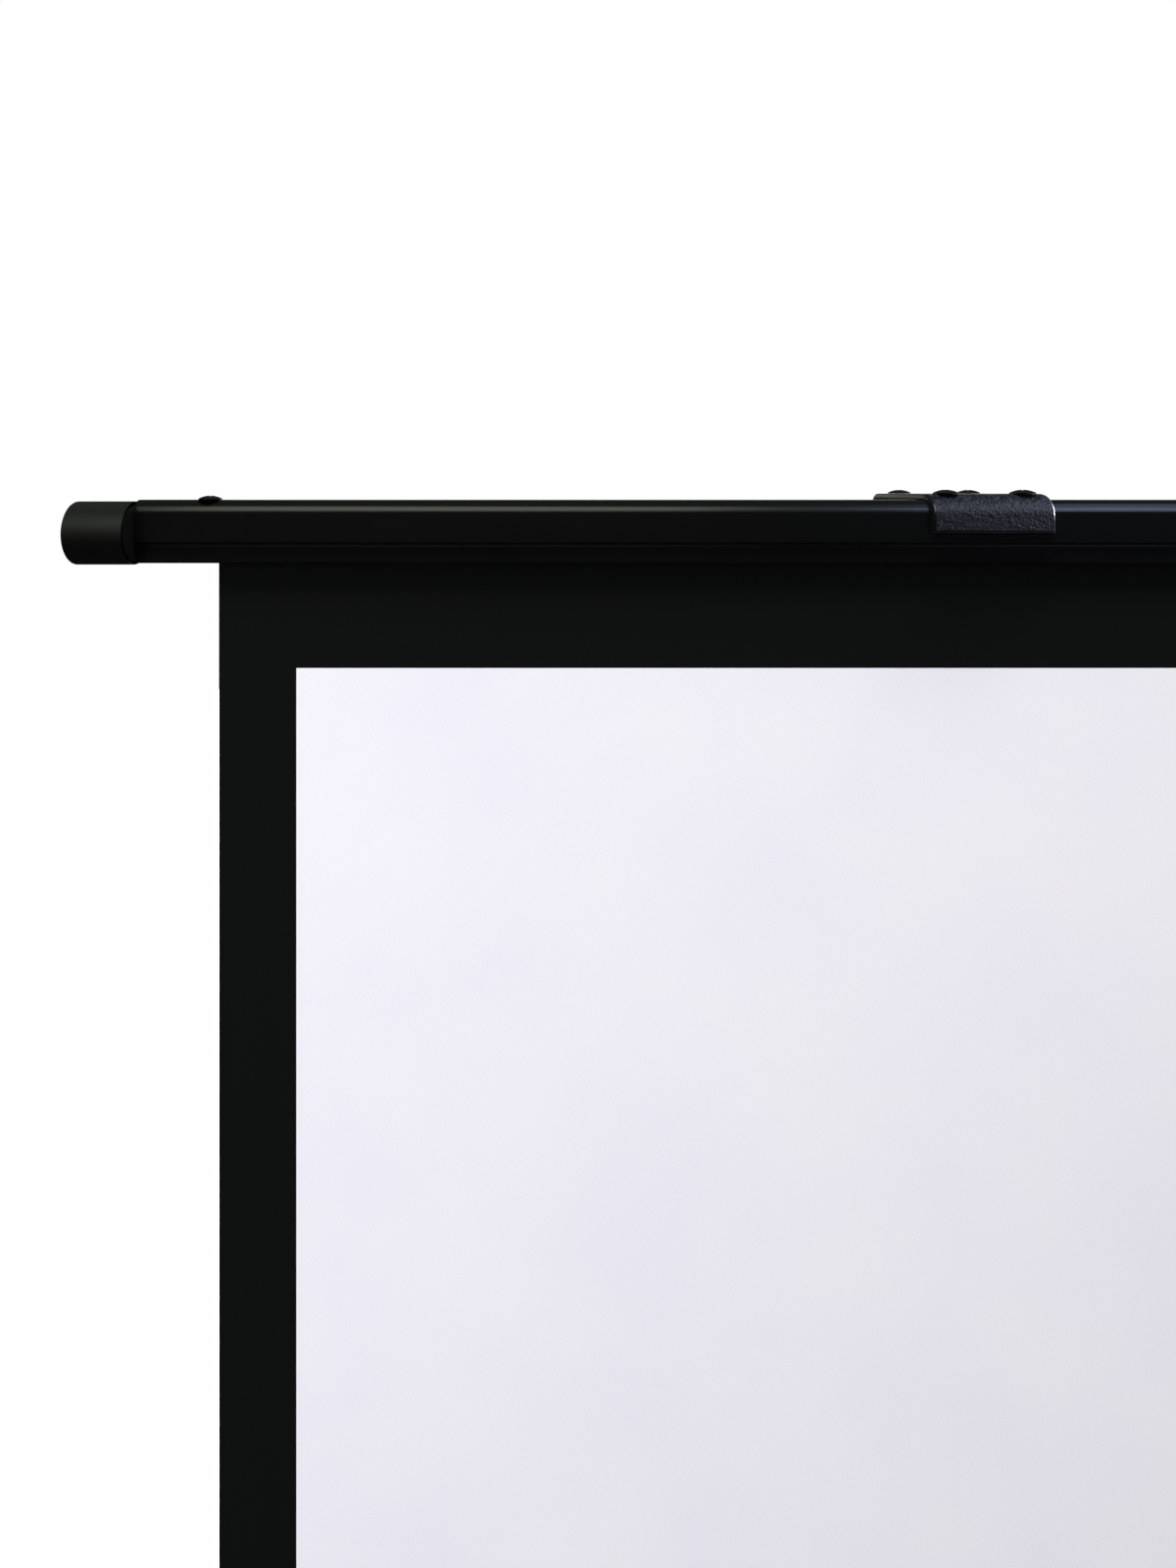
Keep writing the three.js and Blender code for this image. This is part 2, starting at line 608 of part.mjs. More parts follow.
// A folded sheet yoke: a web that screws down and two cheeks on either side of the arms' layer.
function yokeGeometry(armY, webZ, pivotZ, up, screws) {
  const outer = YOKE_REACH;
  const inner = outer - YOKE_SHEET;
  const tipZ = pivotZ + up * YOKE_EDGE;
  const webInner = webZ + up * YOKE_WEB;
  const bendZ = webZ + up * YOKE_BEND;
  const nearBend = arcPoints(outer - YOKE_BEND, 0, YOKE_BEND, -Math.PI / 2, 0, ARC_FACETS / 2);
  const section = outlineOf([
    ...nearBend.map(([y, z]) => [y, bendZ + up * z]),
    [outer, tipZ],
    [inner, tipZ],
    [inner, webInner],
    [-inner, webInner],
    [-inner, tipZ],
    [-outer, tipZ],
    ...nearBend.reverse().map(([y, z]) => [-y, bendZ + up * z]),
  ]);
  const low = Math.min(webZ, tipZ);
  const high = Math.max(webZ, tipZ);
  const face = rectangle(-YOKE_WIDTH / 2, low, YOKE_WIDTH / 2, high, YOKE_CORNER);
  const rounding = solidOf(alongY(face, armY - outer - OVERRUN, armY + outer + OVERRUN));
  const body = solidOf(alongX(section, YOKE_WIDTH).translate(0, armY, 0)).intersect(rounding);
  return carve(geometryOf(body), { cut: [
    ...SIDES.map(([side]) => roundBar(
      'y',
      PIVOT_RADIUS + SEAT_GAP,
      armY - outer - OVERRUN,
      armY + outer + OVERRUN,
      [side * PIVOT_X, pivotZ],
    )),
    ...screws,
  ] });
}

function addYokes() {
  const topWebZ = SADDLE_TOP_Z - SADDLE_SHEET - SEAT_GAP;
  const topHoles = SIDES.map(([side]) => roundBar(
    'z',
    SCREW_RADIUS + SEAT_GAP,
    topWebZ - YOKE_WEB - OVERRUN,
    topWebZ + OVERRUN,
    [side * SADDLE_SCREW_SPACING / 2, SADDLE_REAR_ROW_Y],
  ));
  const topYoke = yokeGeometry(REAR_ARM_Y, topWebZ, TOP_PIVOT_Z, -1, topHoles);
  place('top_yoke', topYoke, 'arm');

  const floorZ = CASE_BOTTOM_Z + CASE_WALL;
  const lowerWebZ = floorZ + SEAT_GAP;
  const lowerHoles = SIDES.map(([side]) => roundBar(
    'z',
    PAN_SCREW_RADIUS + SEAT_GAP,
    lowerWebZ - OVERRUN,
    lowerWebZ + YOKE_WEB + OVERRUN,
    [side * LOWER_YOKE_SCREW_SPACING / 2, FRONT_ARM_Y],
  ));
  const lowerYoke = yokeGeometry(FRONT_ARM_Y, lowerWebZ, LOWER_PIVOT_Z, 1, lowerHoles);
  place('lower_yoke', lowerYoke, 'arm');

  for (const [side, word] of SIDES) {
    const top = rivet(REAR_ARM_Y - YOKE_REACH, REAR_ARM_Y + YOKE_REACH);
    const low = rivet(FRONT_ARM_Y - YOKE_REACH, FRONT_ARM_Y + YOKE_REACH);
    place(`top_pivot_rivet_${word}`, top, 'steel', [side * PIVOT_X, 0, TOP_PIVOT_Z]);
    place(`lower_pivot_rivet_${word}`, low, 'steel', [side * PIVOT_X, 0, LOWER_PIVOT_Z]);
    const length = CASE_WALL + 2 * SEAT_GAP + YOKE_WEB;
    const screw = panScrew(PAN_HEAD_RADIUS, PAN_HEAD_HEIGHT, PAN_SCREW_RADIUS, length);
    const position = [side * LOWER_YOKE_SCREW_SPACING / 2, FRONT_ARM_Y, CASE_BOTTOM_Z - SEAT_GAP];
    place(`lower_yoke_screw_${word}`, screw, 'steel', position, [Math.PI, 0, 0]);
  }
}

// Centres of the screw ports that run along the case, in Y and Z.
function portCentres() {
  const front = CASE_FRONT_Y + CASE_SCREW_INSET;
  const rear = CASE_REAR_Y - CASE_SCREW_INSET;
  const low = CASE_BOTTOM_Z + CASE_SCREW_INSET;
  const high = CASE_TOP_Z - CASE_SCREW_INSET;
  const middle = PARTITION_Y - CASE_SCREW_PORT + CASE_WALL / 2;
  return [['front', front, low], ['rear', rear, low], ['top', middle, high]];
}

function caseOuter() {
  const corner = CASE_CORNER_RADIUS;
  const low = CASE_BOTTOM_Z + corner;
  const nose = CASE_FRONT_RADIUS;
  return [
    ...arcPoints(CASE_REAR_Y - corner, low, corner, 0, -Math.PI / 2, ARC_FACETS),
    ...arcPoints(CASE_FRONT_Y + corner, low, corner, -Math.PI / 2, -Math.PI, ARC_FACETS),
    ...arcPoints(CASE_FRONT_Y + nose, CASE_TOP_Z - nose, nose, Math.PI, Math.PI / 2, ARC_FACETS),
  ];
}

// One closed wall: the back, the floor, the front and the chamber's two lips, then the inner faces.
function caseSection() {
  const wall = CASE_WALL;
  const front = CASE_FRONT_Y + wall;
  const rear = CASE_REAR_Y - wall;
  const corner = CASE_CORNER_RADIUS - wall;
  const nose = CASE_FRONT_RADIUS - wall;
  const roof = CASE_TOP_Z - wall;
  const floor = CASE_BOTTOM_Z + wall;
  const slotFront = FABRIC_Y - SLOT_WIDTH / 2;
  const slotRear = FABRIC_Y + SLOT_WIDTH / 2;
  return outlineOf([
    [CASE_REAR_Y, CASE_TOP_Z],
    ...caseOuter(),
    [slotFront, CASE_TOP_Z],
    [slotFront, roof],
    ...arcPoints(front + nose, roof - nose, nose, Math.PI / 2, Math.PI, ARC_FACETS),
    ...arcPoints(front + corner, floor + corner, corner, Math.PI, 1.5 * Math.PI, ARC_FACETS),
    [PARTITION_Y, floor],
    [PARTITION_Y, roof],
    [slotRear, roof],
    [slotRear, CASE_TOP_Z],
    [PARTITION_Y + wall, CASE_TOP_Z],
    [PARTITION_Y + wall, floor],
    ...arcPoints(rear - corner, floor + corner, corner, -Math.PI / 2, 0, ARC_FACETS),
    [rear, CASE_TOP_Z],
  ].reverse());
}

function addCase() {
  const ports = portCentres();
  const reach = CASE_LENGTH / 2;
  const bolt = FOOT_BOLT_RADIUS + SEAT_GAP;
  const under = CASE_BOTTOM_Z - OVERRUN;
  const over = CASE_BOTTOM_Z + CASE_WALL + OVERRUN;
  const shell = carve(alongX(caseSection(), CASE_LENGTH), {
    add: ports.map(([, y, z]) => roundBar('x', CASE_SCREW_PORT, -reach, reach, [y, z], SMALL_FACETS / 2)),
    cut: [
      ...ports.map(([, y, z]) => roundBar(
        'x',
        CASE_SCREW_RADIUS + SEAT_GAP,
        -reach - OVERRUN,
        reach + OVERRUN,
        [y, z],
        SMALL_FACETS / 2,
      )),
      ...SIDES.map(([side]) => roundBar('z', bolt, under, over, [side * FOOT_X, 0])),
      ...SIDES.map(([side]) => roundBar(
        'z',
        PAN_SCREW_RADIUS + SEAT_GAP,
        under,
        over,
        [side * LOWER_YOKE_SCREW_SPACING / 2, FRONT_ARM_Y],
      )),
    ],
  });
  place('case_shell', shell, 'case');
  addSeals();
  for (const [side, word] of SIDES) {
    addCaseCap(side, word);
  }
}

// Wipers clipped into the slot's edges, one on each side of the fabric.
function addSeals() {
  const roof = CASE_TOP_Z - CASE_WALL;
  const lipTop = CASE_TOP_Z + SEAT_GAP + SEAL_LIP;
  const edge = SLOT_WIDTH / 2 - SEAT_GAP;
  const reach = edge - SEAL_WIDTH;
  const section = [
    [reach, roof - SEAL_HEIGHT + CASE_WALL],
    [edge, roof - SEAL_HEIGHT + CASE_WALL],
    [edge, CASE_TOP_Z + SEAT_GAP],
    [edge + SEAL_WIDTH, CASE_TOP_Z + SEAT_GAP],
    [edge + SEAL_WIDTH, lipTop - SEAL_LIP / 2],
    [edge + SEAL_WIDTH - SEAL_LIP / 2, lipTop],
    [reach + SEAL_LIP, lipTop],
  ];
  const rear = alongX(outlineOf(section), FABRIC_WIDTH);
  const front = alongX(outlineOf(section.map(([y, z]) => [-y, z]).reverse()), FABRIC_WIDTH);
  place('slot_seal_rear', rear, 'rubber', [0, FABRIC_Y, 0]);
  place('slot_seal_front', front, 'rubber', [0, FABRIC_Y, 0]);
}

// The end cap: the case's outline, with a cradle on top that takes the bar's round cap when folded.
function capOutline() {
  const seatRadius = BAR_CAP_RADIUS + CRADLE_GAP;
  const seatZ = BAR_CAP_Z - FOLD_TRAVEL;
  const hornZ = CASE_TOP_Z + CRADLE_RISE;
  const lean = Math.asin((seatZ - hornZ) / seatRadius);
  const wide = seatRadius + CRADLE_WALL;
  return [
    [CASE_REAR_Y, CASE_TOP_Z],
    ...caseOuter().slice(0, -1),
    [BAR_CAP_Y - wide, CASE_TOP_Z],
    [BAR_CAP_Y - wide + CRADLE_WALL / 2, hornZ],
    ...arcPoints(BAR_CAP_Y, seatZ, seatRadius, Math.PI + lean, 2 * Math.PI - lean, 2 * ARC_FACETS),
    [BAR_CAP_Y + wide - CRADLE_WALL / 2, hornZ],
    [BAR_CAP_Y + wide, CASE_TOP_Z],
  ];
}

function addCaseCap(side, word) {
  const inner = CASE_LENGTH / 2 + SEAT_GAP;
  const outer = inner + CASE_CAP_PLATE;
  const seat = outer - CASE_SCREW_HEAD_HEIGHT - SEAT_GAP;
  const bossEnd = ROLLER_LENGTH / 2 + PLUG_FLANGE + RUNNING_GAP;
  const mirrored = (geometry) => (side > 0 ? geometry : turnedEnd(geometry));
  const plate = new THREE.ExtrudeGeometry(outlineOf(capOutline().reverse()), {
    depth: CASE_CAP_PLATE - CASE_CAP_BEVEL,
    bevelThickness: CASE_CAP_BEVEL,
    bevelSize: CASE_CAP_BEVEL,
    bevelOffset: -CASE_CAP_BEVEL,
    bevelSegments: 1,
  });
  plate.applyMatrix4(new THREE.Matrix4().makeBasis(
    new THREE.Vector3(0, 1, 0),
    new THREE.Vector3(0, 0, 1),
    new THREE.Vector3(1, 0, 0),
  ));
  plate.translate(inner, 0, 0);
  const slab = rectangle(CASE_FRONT_Y - OVERRUN, 0, CASE_REAR_Y + OVERRUN, BAR_CAP_Z);
  const flat = alongX(slab, CASE_CAP_BEVEL + OVERRUN);
  flat.translate(inner - (CASE_CAP_BEVEL + OVERRUN) / 2, 0, 0);
  const boss = roundBar('x', BOSS_RADIUS, bossEnd, inner + OVERRUN, [ROLLER_Y, ROLLER_Z]);
  const bore = roundBar(
    'x',
    ROLLER_PIN_RADIUS + SEAT_GAP,
    bossEnd - OVERRUN,
    inner + OVERRUN,
    [ROLLER_Y, ROLLER_Z],
  );
  const screwCuts = portCentres().flatMap(([, y, z]) => [
    roundBar('x', CASE_SCREW_RADIUS + SEAT_GAP, inner - OVERRUN, outer + OVERRUN, [y, z]),
    roundBar('x', CASE_SCREW_HEAD_RADIUS + SEAT_GAP, seat - SEAT_GAP, outer + OVERRUN, [y, z]),
  ]);
  const cap = solidOf(plate).subtract(solidOf(flat)).add(solidOf(boss));
  const finished = carve(geometryOf(cap), { cut: [bore, ...screwCuts] });
  place(`case_end_cap_${word}`, mirrored(finished), 'cap');

  for (const [port, y, z] of portCentres()) {
    const screw = panScrew(
      CASE_SCREW_HEAD_RADIUS,
      CASE_SCREW_HEAD_HEIGHT,
      CASE_SCREW_RADIUS,
      CASE_SCREW_LENGTH,
    );
    place(`case_end_screw_${port}_${word}`, screw, 'screw', [side * seat, y, z], [0, side * Math.PI / 2, 0]);
  }
}

// Mirrors an end piece across X = 0, with its faces turned back outwards.
function turnedEnd(geometry) {
  const mirrored = geometry.clone().scale(-1, 1, 1);
  const index = mirrored.index.array;
  for (let i = 0; i < index.length; i += 3) {
    [index[i], index[i + 1]] = [index[i + 1], index[i]];
  }
  mirrored.computeVertexNormals();
  return mirrored;
}

function tubeAlongX(outerRadius, innerRadius, from, to, facets) {
  const ring = circle(outerRadius);
  ring.holes.push(circle(innerRadius));
  const tube = alongX(ring, to - from, facets / 2);
  return tube.translate((from + to) / 2, 0, 0);
}

function addRoller() {
  const axis = [0, ROLLER_Y, ROLLER_Z];
  const half = ROLLER_LENGTH / 2;
  const boreRadius = ROLLER_RADIUS - ROLLER_WALL;
  const tube = tubeAlongX(ROLLER_RADIUS, boreRadius, -half, half, ROUND_FACETS);
  place('roller_tube', tube, 'roller', axis);
  const roll = tubeAlongX(
    ROLL_RADIUS,
    ROLLER_RADIUS + SEAT_GAP,
    -FABRIC_WIDTH / 2,
    FABRIC_WIDTH / 2,
    ROUND_FACETS,
  );
  place('fabric_roll', roll, 'backing', axis);

  const pinHole = ROLLER_PIN_RADIUS + SEAT_GAP;
  const plugRadius = boreRadius - SEAT_GAP;
  for (const [side, , word] of [[-1, 'left', 'idle'], [1, 'right', 'spring']]) {
    const plug = carve(roundBar('x', plugRadius, half - PLUG_LENGTH, half + SEAT_GAP), {
      add: [roundBar('x', ROLLER_RADIUS, half + SEAT_GAP, half + PLUG_FLANGE)],
      cut: [roundBar('x', pinHole, half - PLUG_LENGTH - OVERRUN, half + PLUG_FLANGE + OVERRUN)],
    });
    place(`roller_plug_${word}`, side > 0 ? plug : turnedEnd(plug), 'cap', axis);
  }

  // The idle pin is short; the spring shaft runs on inside the spring.
  const pinEnd = CASE_LENGTH / 2 + SEAT_GAP;
  const idle = roundBar('x', ROLLER_PIN_RADIUS, -pinEnd, PLUG_LENGTH / 2 - half);
  place('idle_pin', idle, 'steel', axis);
  const shaft = roundBar('x', ROLLER_PIN_RADIUS, half - PLUG_LENGTH - SPRING_LENGTH, pinEnd);
  place('spring_shaft', shaft, 'steel', axis);
  const springEnd = half - PLUG_LENGTH - SEAT_GAP;
  const spring = tubeAlongX(
    SPRING_RADIUS,
    SPRING_RADIUS - SPRING_WALL,
    springEnd - SPRING_LENGTH,
    springEnd,
    SMALL_FACETS,
  );
  place('roller_spring', spring, 'steel', axis);
}

function addFabric() {
  const bottom = ROLLER_Z;
  const top = BAR_BOTTOM_Z + SPLINE_HEIGHT - SPLINE_RADIUS - SEAT_GAP;
  const cloth = new THREE.BoxGeometry(FABRIC_WIDTH, FABRIC_THICKNESS, top - bottom);
  place('projection_fabric', cloth, 'fabric', [0, FABRIC_Y, (top + bottom) / 2]);
}

// A foot lies across the case on one bolt and swings in line with it.
function footGeometry() {
  const half = FOOT_LENGTH / 2 - FOOT_WIDTH / 2;
  const tip = FOOT_WIDTH / 2;
  const flare = Math.asin(tip / FOOT_HUB_RADIUS);
  const outline = outlineOf([
    ...arcPoints(0, half, tip, 0, Math.PI, 2 * ARC_FACETS),
    ...arcPoints(0, 0, FOOT_HUB_RADIUS, Math.PI / 2 + flare, 1.5 * Math.PI - flare, ARC_FACETS),
    ...arcPoints(0, -half, tip, Math.PI, 2 * Math.PI, 2 * ARC_FACETS),
    ...arcPoints(0, 0, FOOT_HUB_RADIUS, flare - Math.PI / 2, Math.PI / 2 - flare, ARC_FACETS),
  ]);
  const body = new THREE.ExtrudeGeometry(outline, {
    depth: FOOT_THICKNESS - 2 * FOOT_BEVEL,
    bevelThickness: FOOT_BEVEL,
    bevelSize: FOOT_BEVEL,
    bevelOffset: -FOOT_BEVEL,
    bevelSegments: 1,
  });
  body.translate(0, 0, FOOT_BOTTOM_Z + FOOT_BEVEL);
  const headSeat = FOOT_BOTTOM_Z + FOOT_BOLT_HEAD_HEIGHT + SEAT_GAP;
  return carve(body, { cut: [
    roundBar('z', FOOT_BOLT_RADIUS + SEAT_GAP, 0, FOOT_TOP_Z + OVERRUN),
    roundBar('z', FOOT_BOLT_HEAD_RADIUS + SEAT_GAP, 0, headSeat),
  ] });
}

function addFeet() {
  const bolt = FOOT_BOLT_RADIUS + SEAT_GAP;
  const floorTop = CASE_BOTTOM_Z + CASE_WALL;
  const nutBottom = floorTop + SEAT_GAP;
  const headTop = FOOT_BOTTOM_Z + FOOT_BOLT_HEAD_HEIGHT;
  for (const [side, word] of SIDES) {
    const x = side * FOOT_X;
    place(`foot_${word}`, footGeometry(), 'cap', [x, 0, 0]);
    for (const [end, row] of [[-1, 'front'], [1, 'rear']]) {
      const pad = revolve([
        [0, 0],
        [PAD_RADIUS - PAD_FILLET, 0],
        [PAD_RADIUS, PAD_FILLET],
        [PAD_RADIUS, PAD_HEIGHT],
        [0, PAD_HEIGHT],
      ]);
      const y = end * (FOOT_LENGTH - FOOT_WIDTH) / 2;
      place(`foot_pad_${row}_${word}`, pad, 'rubber', [x, y, 0]);
    }
    const ring = circle(WASHER_RADIUS);
    ring.holes.push(circle(bolt));
    const washer = alongZ(ring, WASHER_BOTTOM_Z, WASHER_BOTTOM_Z + WASHER_THICKNESS, SMALL_FACETS / 2);
    place(`foot_washer_${word}`, washer, 'nylon', [x, 0, 0]);
    const boltTop = nutBottom + FOOT_NUT_HEIGHT + SEAT_GAP;
    const shank = panScrew(FOOT_BOLT_HEAD_RADIUS, FOOT_BOLT_HEAD_HEIGHT, FOOT_BOLT_RADIUS, boltTop - headTop);
    place(`foot_bolt_${word}`, shank, 'steel', [x, 0, headTop], [Math.PI, 0, 0]);
    const hexagon = new THREE.CylinderGeometry(FOOT_NUT_RADIUS, FOOT_NUT_RADIUS, FOOT_NUT_HEIGHT, 6);
    hexagon.rotateX(Math.PI / 2).translate(0, 0, FOOT_NUT_HEIGHT / 2);
    const nut = carve(hexagon, { cut: [roundBar('z', bolt, -OVERRUN, FOOT_NUT_HEIGHT + OVERRUN)] });
    place(`foot_nut_${word}`, nut, 'steel', [x, 0, nutBottom]);
  }
}

addTopBar();
addSaddle();
addArms();
addYokes();
addCase();
addRoller();
addFabric();
addFeet();

export default screen;
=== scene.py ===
# %% [markdown]
# # A small pull-up projection screen
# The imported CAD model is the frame: every body, joint and place comes from it. This lesson gives the frame its
# finished surfaces. It makes new meshes where the eye rests, which is the top bar, its round caps, the saddle
# bracket, the screws and the fabric, and it softens the edges of the CAD solids everywhere else.

# %% Load the frame
import json
import math

import bmesh
import bpy
from mathutils import Matrix, Vector


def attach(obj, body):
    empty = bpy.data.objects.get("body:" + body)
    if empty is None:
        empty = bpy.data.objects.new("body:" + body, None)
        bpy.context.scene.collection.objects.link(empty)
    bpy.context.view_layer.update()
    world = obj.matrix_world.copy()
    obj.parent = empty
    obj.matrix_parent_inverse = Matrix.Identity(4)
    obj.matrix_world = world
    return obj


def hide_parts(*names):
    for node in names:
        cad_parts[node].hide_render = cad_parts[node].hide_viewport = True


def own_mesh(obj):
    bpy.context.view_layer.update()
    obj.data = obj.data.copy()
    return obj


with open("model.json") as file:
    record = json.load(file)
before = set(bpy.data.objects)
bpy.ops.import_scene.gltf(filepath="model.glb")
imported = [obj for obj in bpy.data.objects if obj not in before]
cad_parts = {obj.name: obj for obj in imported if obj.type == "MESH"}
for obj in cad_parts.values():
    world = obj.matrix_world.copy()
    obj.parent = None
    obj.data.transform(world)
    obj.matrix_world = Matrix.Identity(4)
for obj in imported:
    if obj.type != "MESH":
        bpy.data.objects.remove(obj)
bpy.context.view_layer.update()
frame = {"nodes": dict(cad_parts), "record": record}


# %% [markdown]
# Sizes are easier to think about in millimetres and colours in the hex values that a paint chart gives. Blender
# wants metres and linear light. Two short functions do both conversions, so no line has to repeat them. The numbers
# in the second one are those of the sRGB curve.

# %% Units and colours
MM_PER_METRE = 1000


def mm(*values):
    scaled = [value / MM_PER_METRE for value in values]
    return scaled[0] if len(scaled) == 1 else Vector(scaled)


def linear(hex_colour):
    channels = [int(hex_colour[i:i + 2], 16) / 255 for i in (1, 3, 5)]
    straight = [c / 12.92 if c <= 0.04045 else ((c + 0.055) / 1.055) ** 2.4 for c in channels]
    return (*straight, 1.0)


print("mid grey is", round(linear("#808080")[0], 3), "in linear light")


# %% [markdown]
# Every finish here is a small graph of shader nodes. Adding a node, setting it and linking it is always the same
# three steps, so one function does them. Inputs are given by name: a tuple of a node and the name of its output is
# a link, and anything else is a value. The Mix node has several inputs of each name, one for each kind of value, so
# those for colours are given by their number.

# %% One way to add a node
MIX_SHARE = 0
MIX_FIRST = 6
MIX_SECOND = 7
MIXED = 2


def add(tree, kind, inputs=None, **settings):
    node = tree.nodes.new(kind)
    for name, value in settings.items():
        setattr(node, name, value)
    for name, value in (inputs or {}).items():
        socket = node.inputs[name]
        if isinstance(value, tuple) and isinstance(value[0], bpy.types.Node):
            tree.links.new(value[0].outputs[value[1]], socket)
        else:
            socket.default_value = value
    return node


def new_material(name):
    material = bpy.data.materials.new(name)
    material.use_nodes = True
    material.node_tree.nodes.clear()
    return material, material.node_tree


print("colours are mixed through inputs", MIX_FIRST, "and", MIX_SECOND, "of a Mix node")


# %% [markdown]
# Grain, orange peel and crinkle are all noise at different sizes. A noise of scale s has features of about 1/s
# metres, so the scale comes straight from the size of the grain in millimetres. The same noise can raise the
# surface, through a bump node, and change how rough it is. Most of a noise lies between 0.3 and 0.7.

# %% Grain from real sizes
NOISE_LOW = 0.3
NOISE_HIGH = 0.7


def per_metre(size_mm):
    return MM_PER_METRE / size_mm


print("a grain of 0.5 mm is a noise of scale", per_metre(0.5))

# %% [markdown]
# The camera comes first, because it decides which details matter. The photograph is cropped from a wide view that
# was taken level with the bar and to the left of its middle. Its vanishing point isn't in the middle of the
# picture, and only a lens shift gives that without tilting the uprights. The focal length and place were worked out
# from the widths of the cap, the fabric, the saddle and its screws.

# %% Camera
PHOTO_WIDTH = 1200
PHOTO_HEIGHT = 1600
FOCAL_PIXELS = 799.9
VANISHING_X = 507.6
VANISHING_Y = 501.4
SENSOR = 36
EYE_PLACE = mm(-251.6, -414.3, 736.2)
NEAREST_SEEN = 0.01

eye = bpy.data.cameras.new("camera")
eye.sensor_width = SENSOR
eye.lens = FOCAL_PIXELS / PHOTO_HEIGHT * SENSOR
eye.shift_x = (PHOTO_WIDTH / 2 - VANISHING_X) / PHOTO_HEIGHT
eye.shift_y = (VANISHING_Y - PHOTO_HEIGHT / 2) / PHOTO_HEIGHT
eye.clip_start = NEAREST_SEEN
camera = bpy.data.objects.new("camera", eye)
camera.location = EYE_PLACE
camera.rotation_euler = (math.pi / 2, 0, 0)
bpy.context.scene.collection.objects.link(camera)
bpy.context.scene.camera = camera
print("lens", round(eye.lens, 1), "mm, shift", round(eye.shift_x, 3), round(eye.shift_y, 3))

# %% [markdown]
# The bar and the case are extruded aluminium with a sprayed satin black coat. A sprayed coat is smooth but never
# perfect: it has a faint orange peel about 1.5 mm across, which breaks up the edge of each highlight. Specks of dust
# under the coat are finer, and every few centimetres the gloss drifts a little.

# %% Satin black spray coat on aluminium
PEEL_SIZE = 1.5
PEEL_DEPTH = 0.02
DUST_SIZE = 0.5
DUST_DEPTH = 0.008
DRIFT_SIZE = 40
DRIFT_SWING = 0.02


def satin_spray_coat(name, colour, roughness):
    material, tree = new_material(name)
    place = (add(tree, "ShaderNodeTexCoord"), "Object")
    peel = add(tree, "ShaderNodeTexNoise", {"Vector": place, "Scale": per_metre(PEEL_SIZE)})
    dust = add(tree, "ShaderNodeTexNoise", {"Vector": place, "Scale": per_metre(DUST_SIZE), "Detail": 3})
    drift = add(tree, "ShaderNodeTexNoise", {"Vector": place, "Scale": per_metre(DRIFT_SIZE)})
    waves = add(tree, "ShaderNodeBump", {
        "Height": (peel, "Fac"), "Distance": mm(PEEL_DEPTH), "Strength": 0.6})
    specks = add(tree, "ShaderNodeBump", {
        "Height": (dust, "Fac"), "Distance": mm(DUST_DEPTH), "Strength": 0.5, "Normal": (waves, "Normal")})
    rough = add(tree, "ShaderNodeMapRange", {
        "Value": (drift, "Fac"), "To Min": roughness - DRIFT_SWING, "To Max": roughness + DRIFT_SWING})
    shader = add(tree, "ShaderNodeBsdfPrincipled", {
        "Base Color": linear(colour), "IOR": 1.5, "Specular IOR Level": 0.5,
        "Roughness": (rough, "Result"), "Normal": (specks, "Normal")})
    add(tree, "ShaderNodeOutputMaterial", {"Surface": (shader, "BSDF")})
    return material


bar_coat = satin_spray_coat("aluminium_extruded_satin_black_spray_coat", "#060706", roughness=0.235)
case_coat = satin_spray_coat("aluminium_extruded_satin_black_case_coat", "#101113", roughness=0.40)
print("made", bar_coat.name, "and", case_coat.name)

# %% [markdown]
# The bar's caps are moulded in soft black rubber. The mould was spark eroded, which leaves an even matt grain of
# about 0.5 mm. Rubber has a lower gloss than paint, and its highlight is wide and dim. The foot pads are a duller
# rubber with hardly any highlight. The feet and the caps of the case are ABS, which looks harder. The washers and
# spacers are nylon, a pale plastic with a waxy gloss. All of these have one even grain, and so have some coats
# further on, so one function makes them.

# %% Moulded rubber and plastic
WEAR_SIZE = 18
WEAR_SWING = 0.06


def even_grained(name, colour, roughness, grain_size, depth, specular=0.4, metallic=0.0):
    material, tree = new_material(name)
    place = (add(tree, "ShaderNodeTexCoord"), "Object")
    pits = add(tree, "ShaderNodeTexNoise", {"Vector": place, "Scale": per_metre(grain_size), "Detail": 3})
    wear = add(tree, "ShaderNodeTexNoise", {"Vector": place, "Scale": per_metre(WEAR_SIZE)})
    raised = add(tree, "ShaderNodeBump", {"Height": (pits, "Fac"), "Distance": mm(depth), "Strength": 0.7})
    rough = add(tree, "ShaderNodeMapRange", {
        "Value": (wear, "Fac"), "From Min": NOISE_LOW, "From Max": NOISE_HIGH,
        "To Min": roughness - WEAR_SWING, "To Max": roughness + WEAR_SWING})
    shader = add(tree, "ShaderNodeBsdfPrincipled", {
        "Base Color": linear(colour), "Metallic": metallic, "IOR": 1.5, "Specular IOR Level": specular,
        "Roughness": (rough, "Result"), "Normal": (raised, "Normal")})
    add(tree, "ShaderNodeOutputMaterial", {"Surface": (shader, "BSDF")})
    return material


cap_rubber = even_grained("rubber_moulded_matt_black", "#0b0d0a", roughness=0.43, grain_size=0.5, depth=0.02)
pad_rubber = even_grained("rubber_moulded_foot_pad", "#0c0c0c", roughness=0.75, grain_size=0.8, depth=0.04,
                          specular=0.3)
cap_plastic = even_grained("abs_moulded_fine_spark_grain", "#101113", roughness=0.5, grain_size=0.6, depth=0.03)
nylon = even_grained("nylon_moulded_natural", "#d9d7cd", roughness=0.45, grain_size=0.7, depth=0.02, specular=0.5)
print("made", cap_rubber.name, pad_rubber.name, cap_plastic.name, nylon.name)

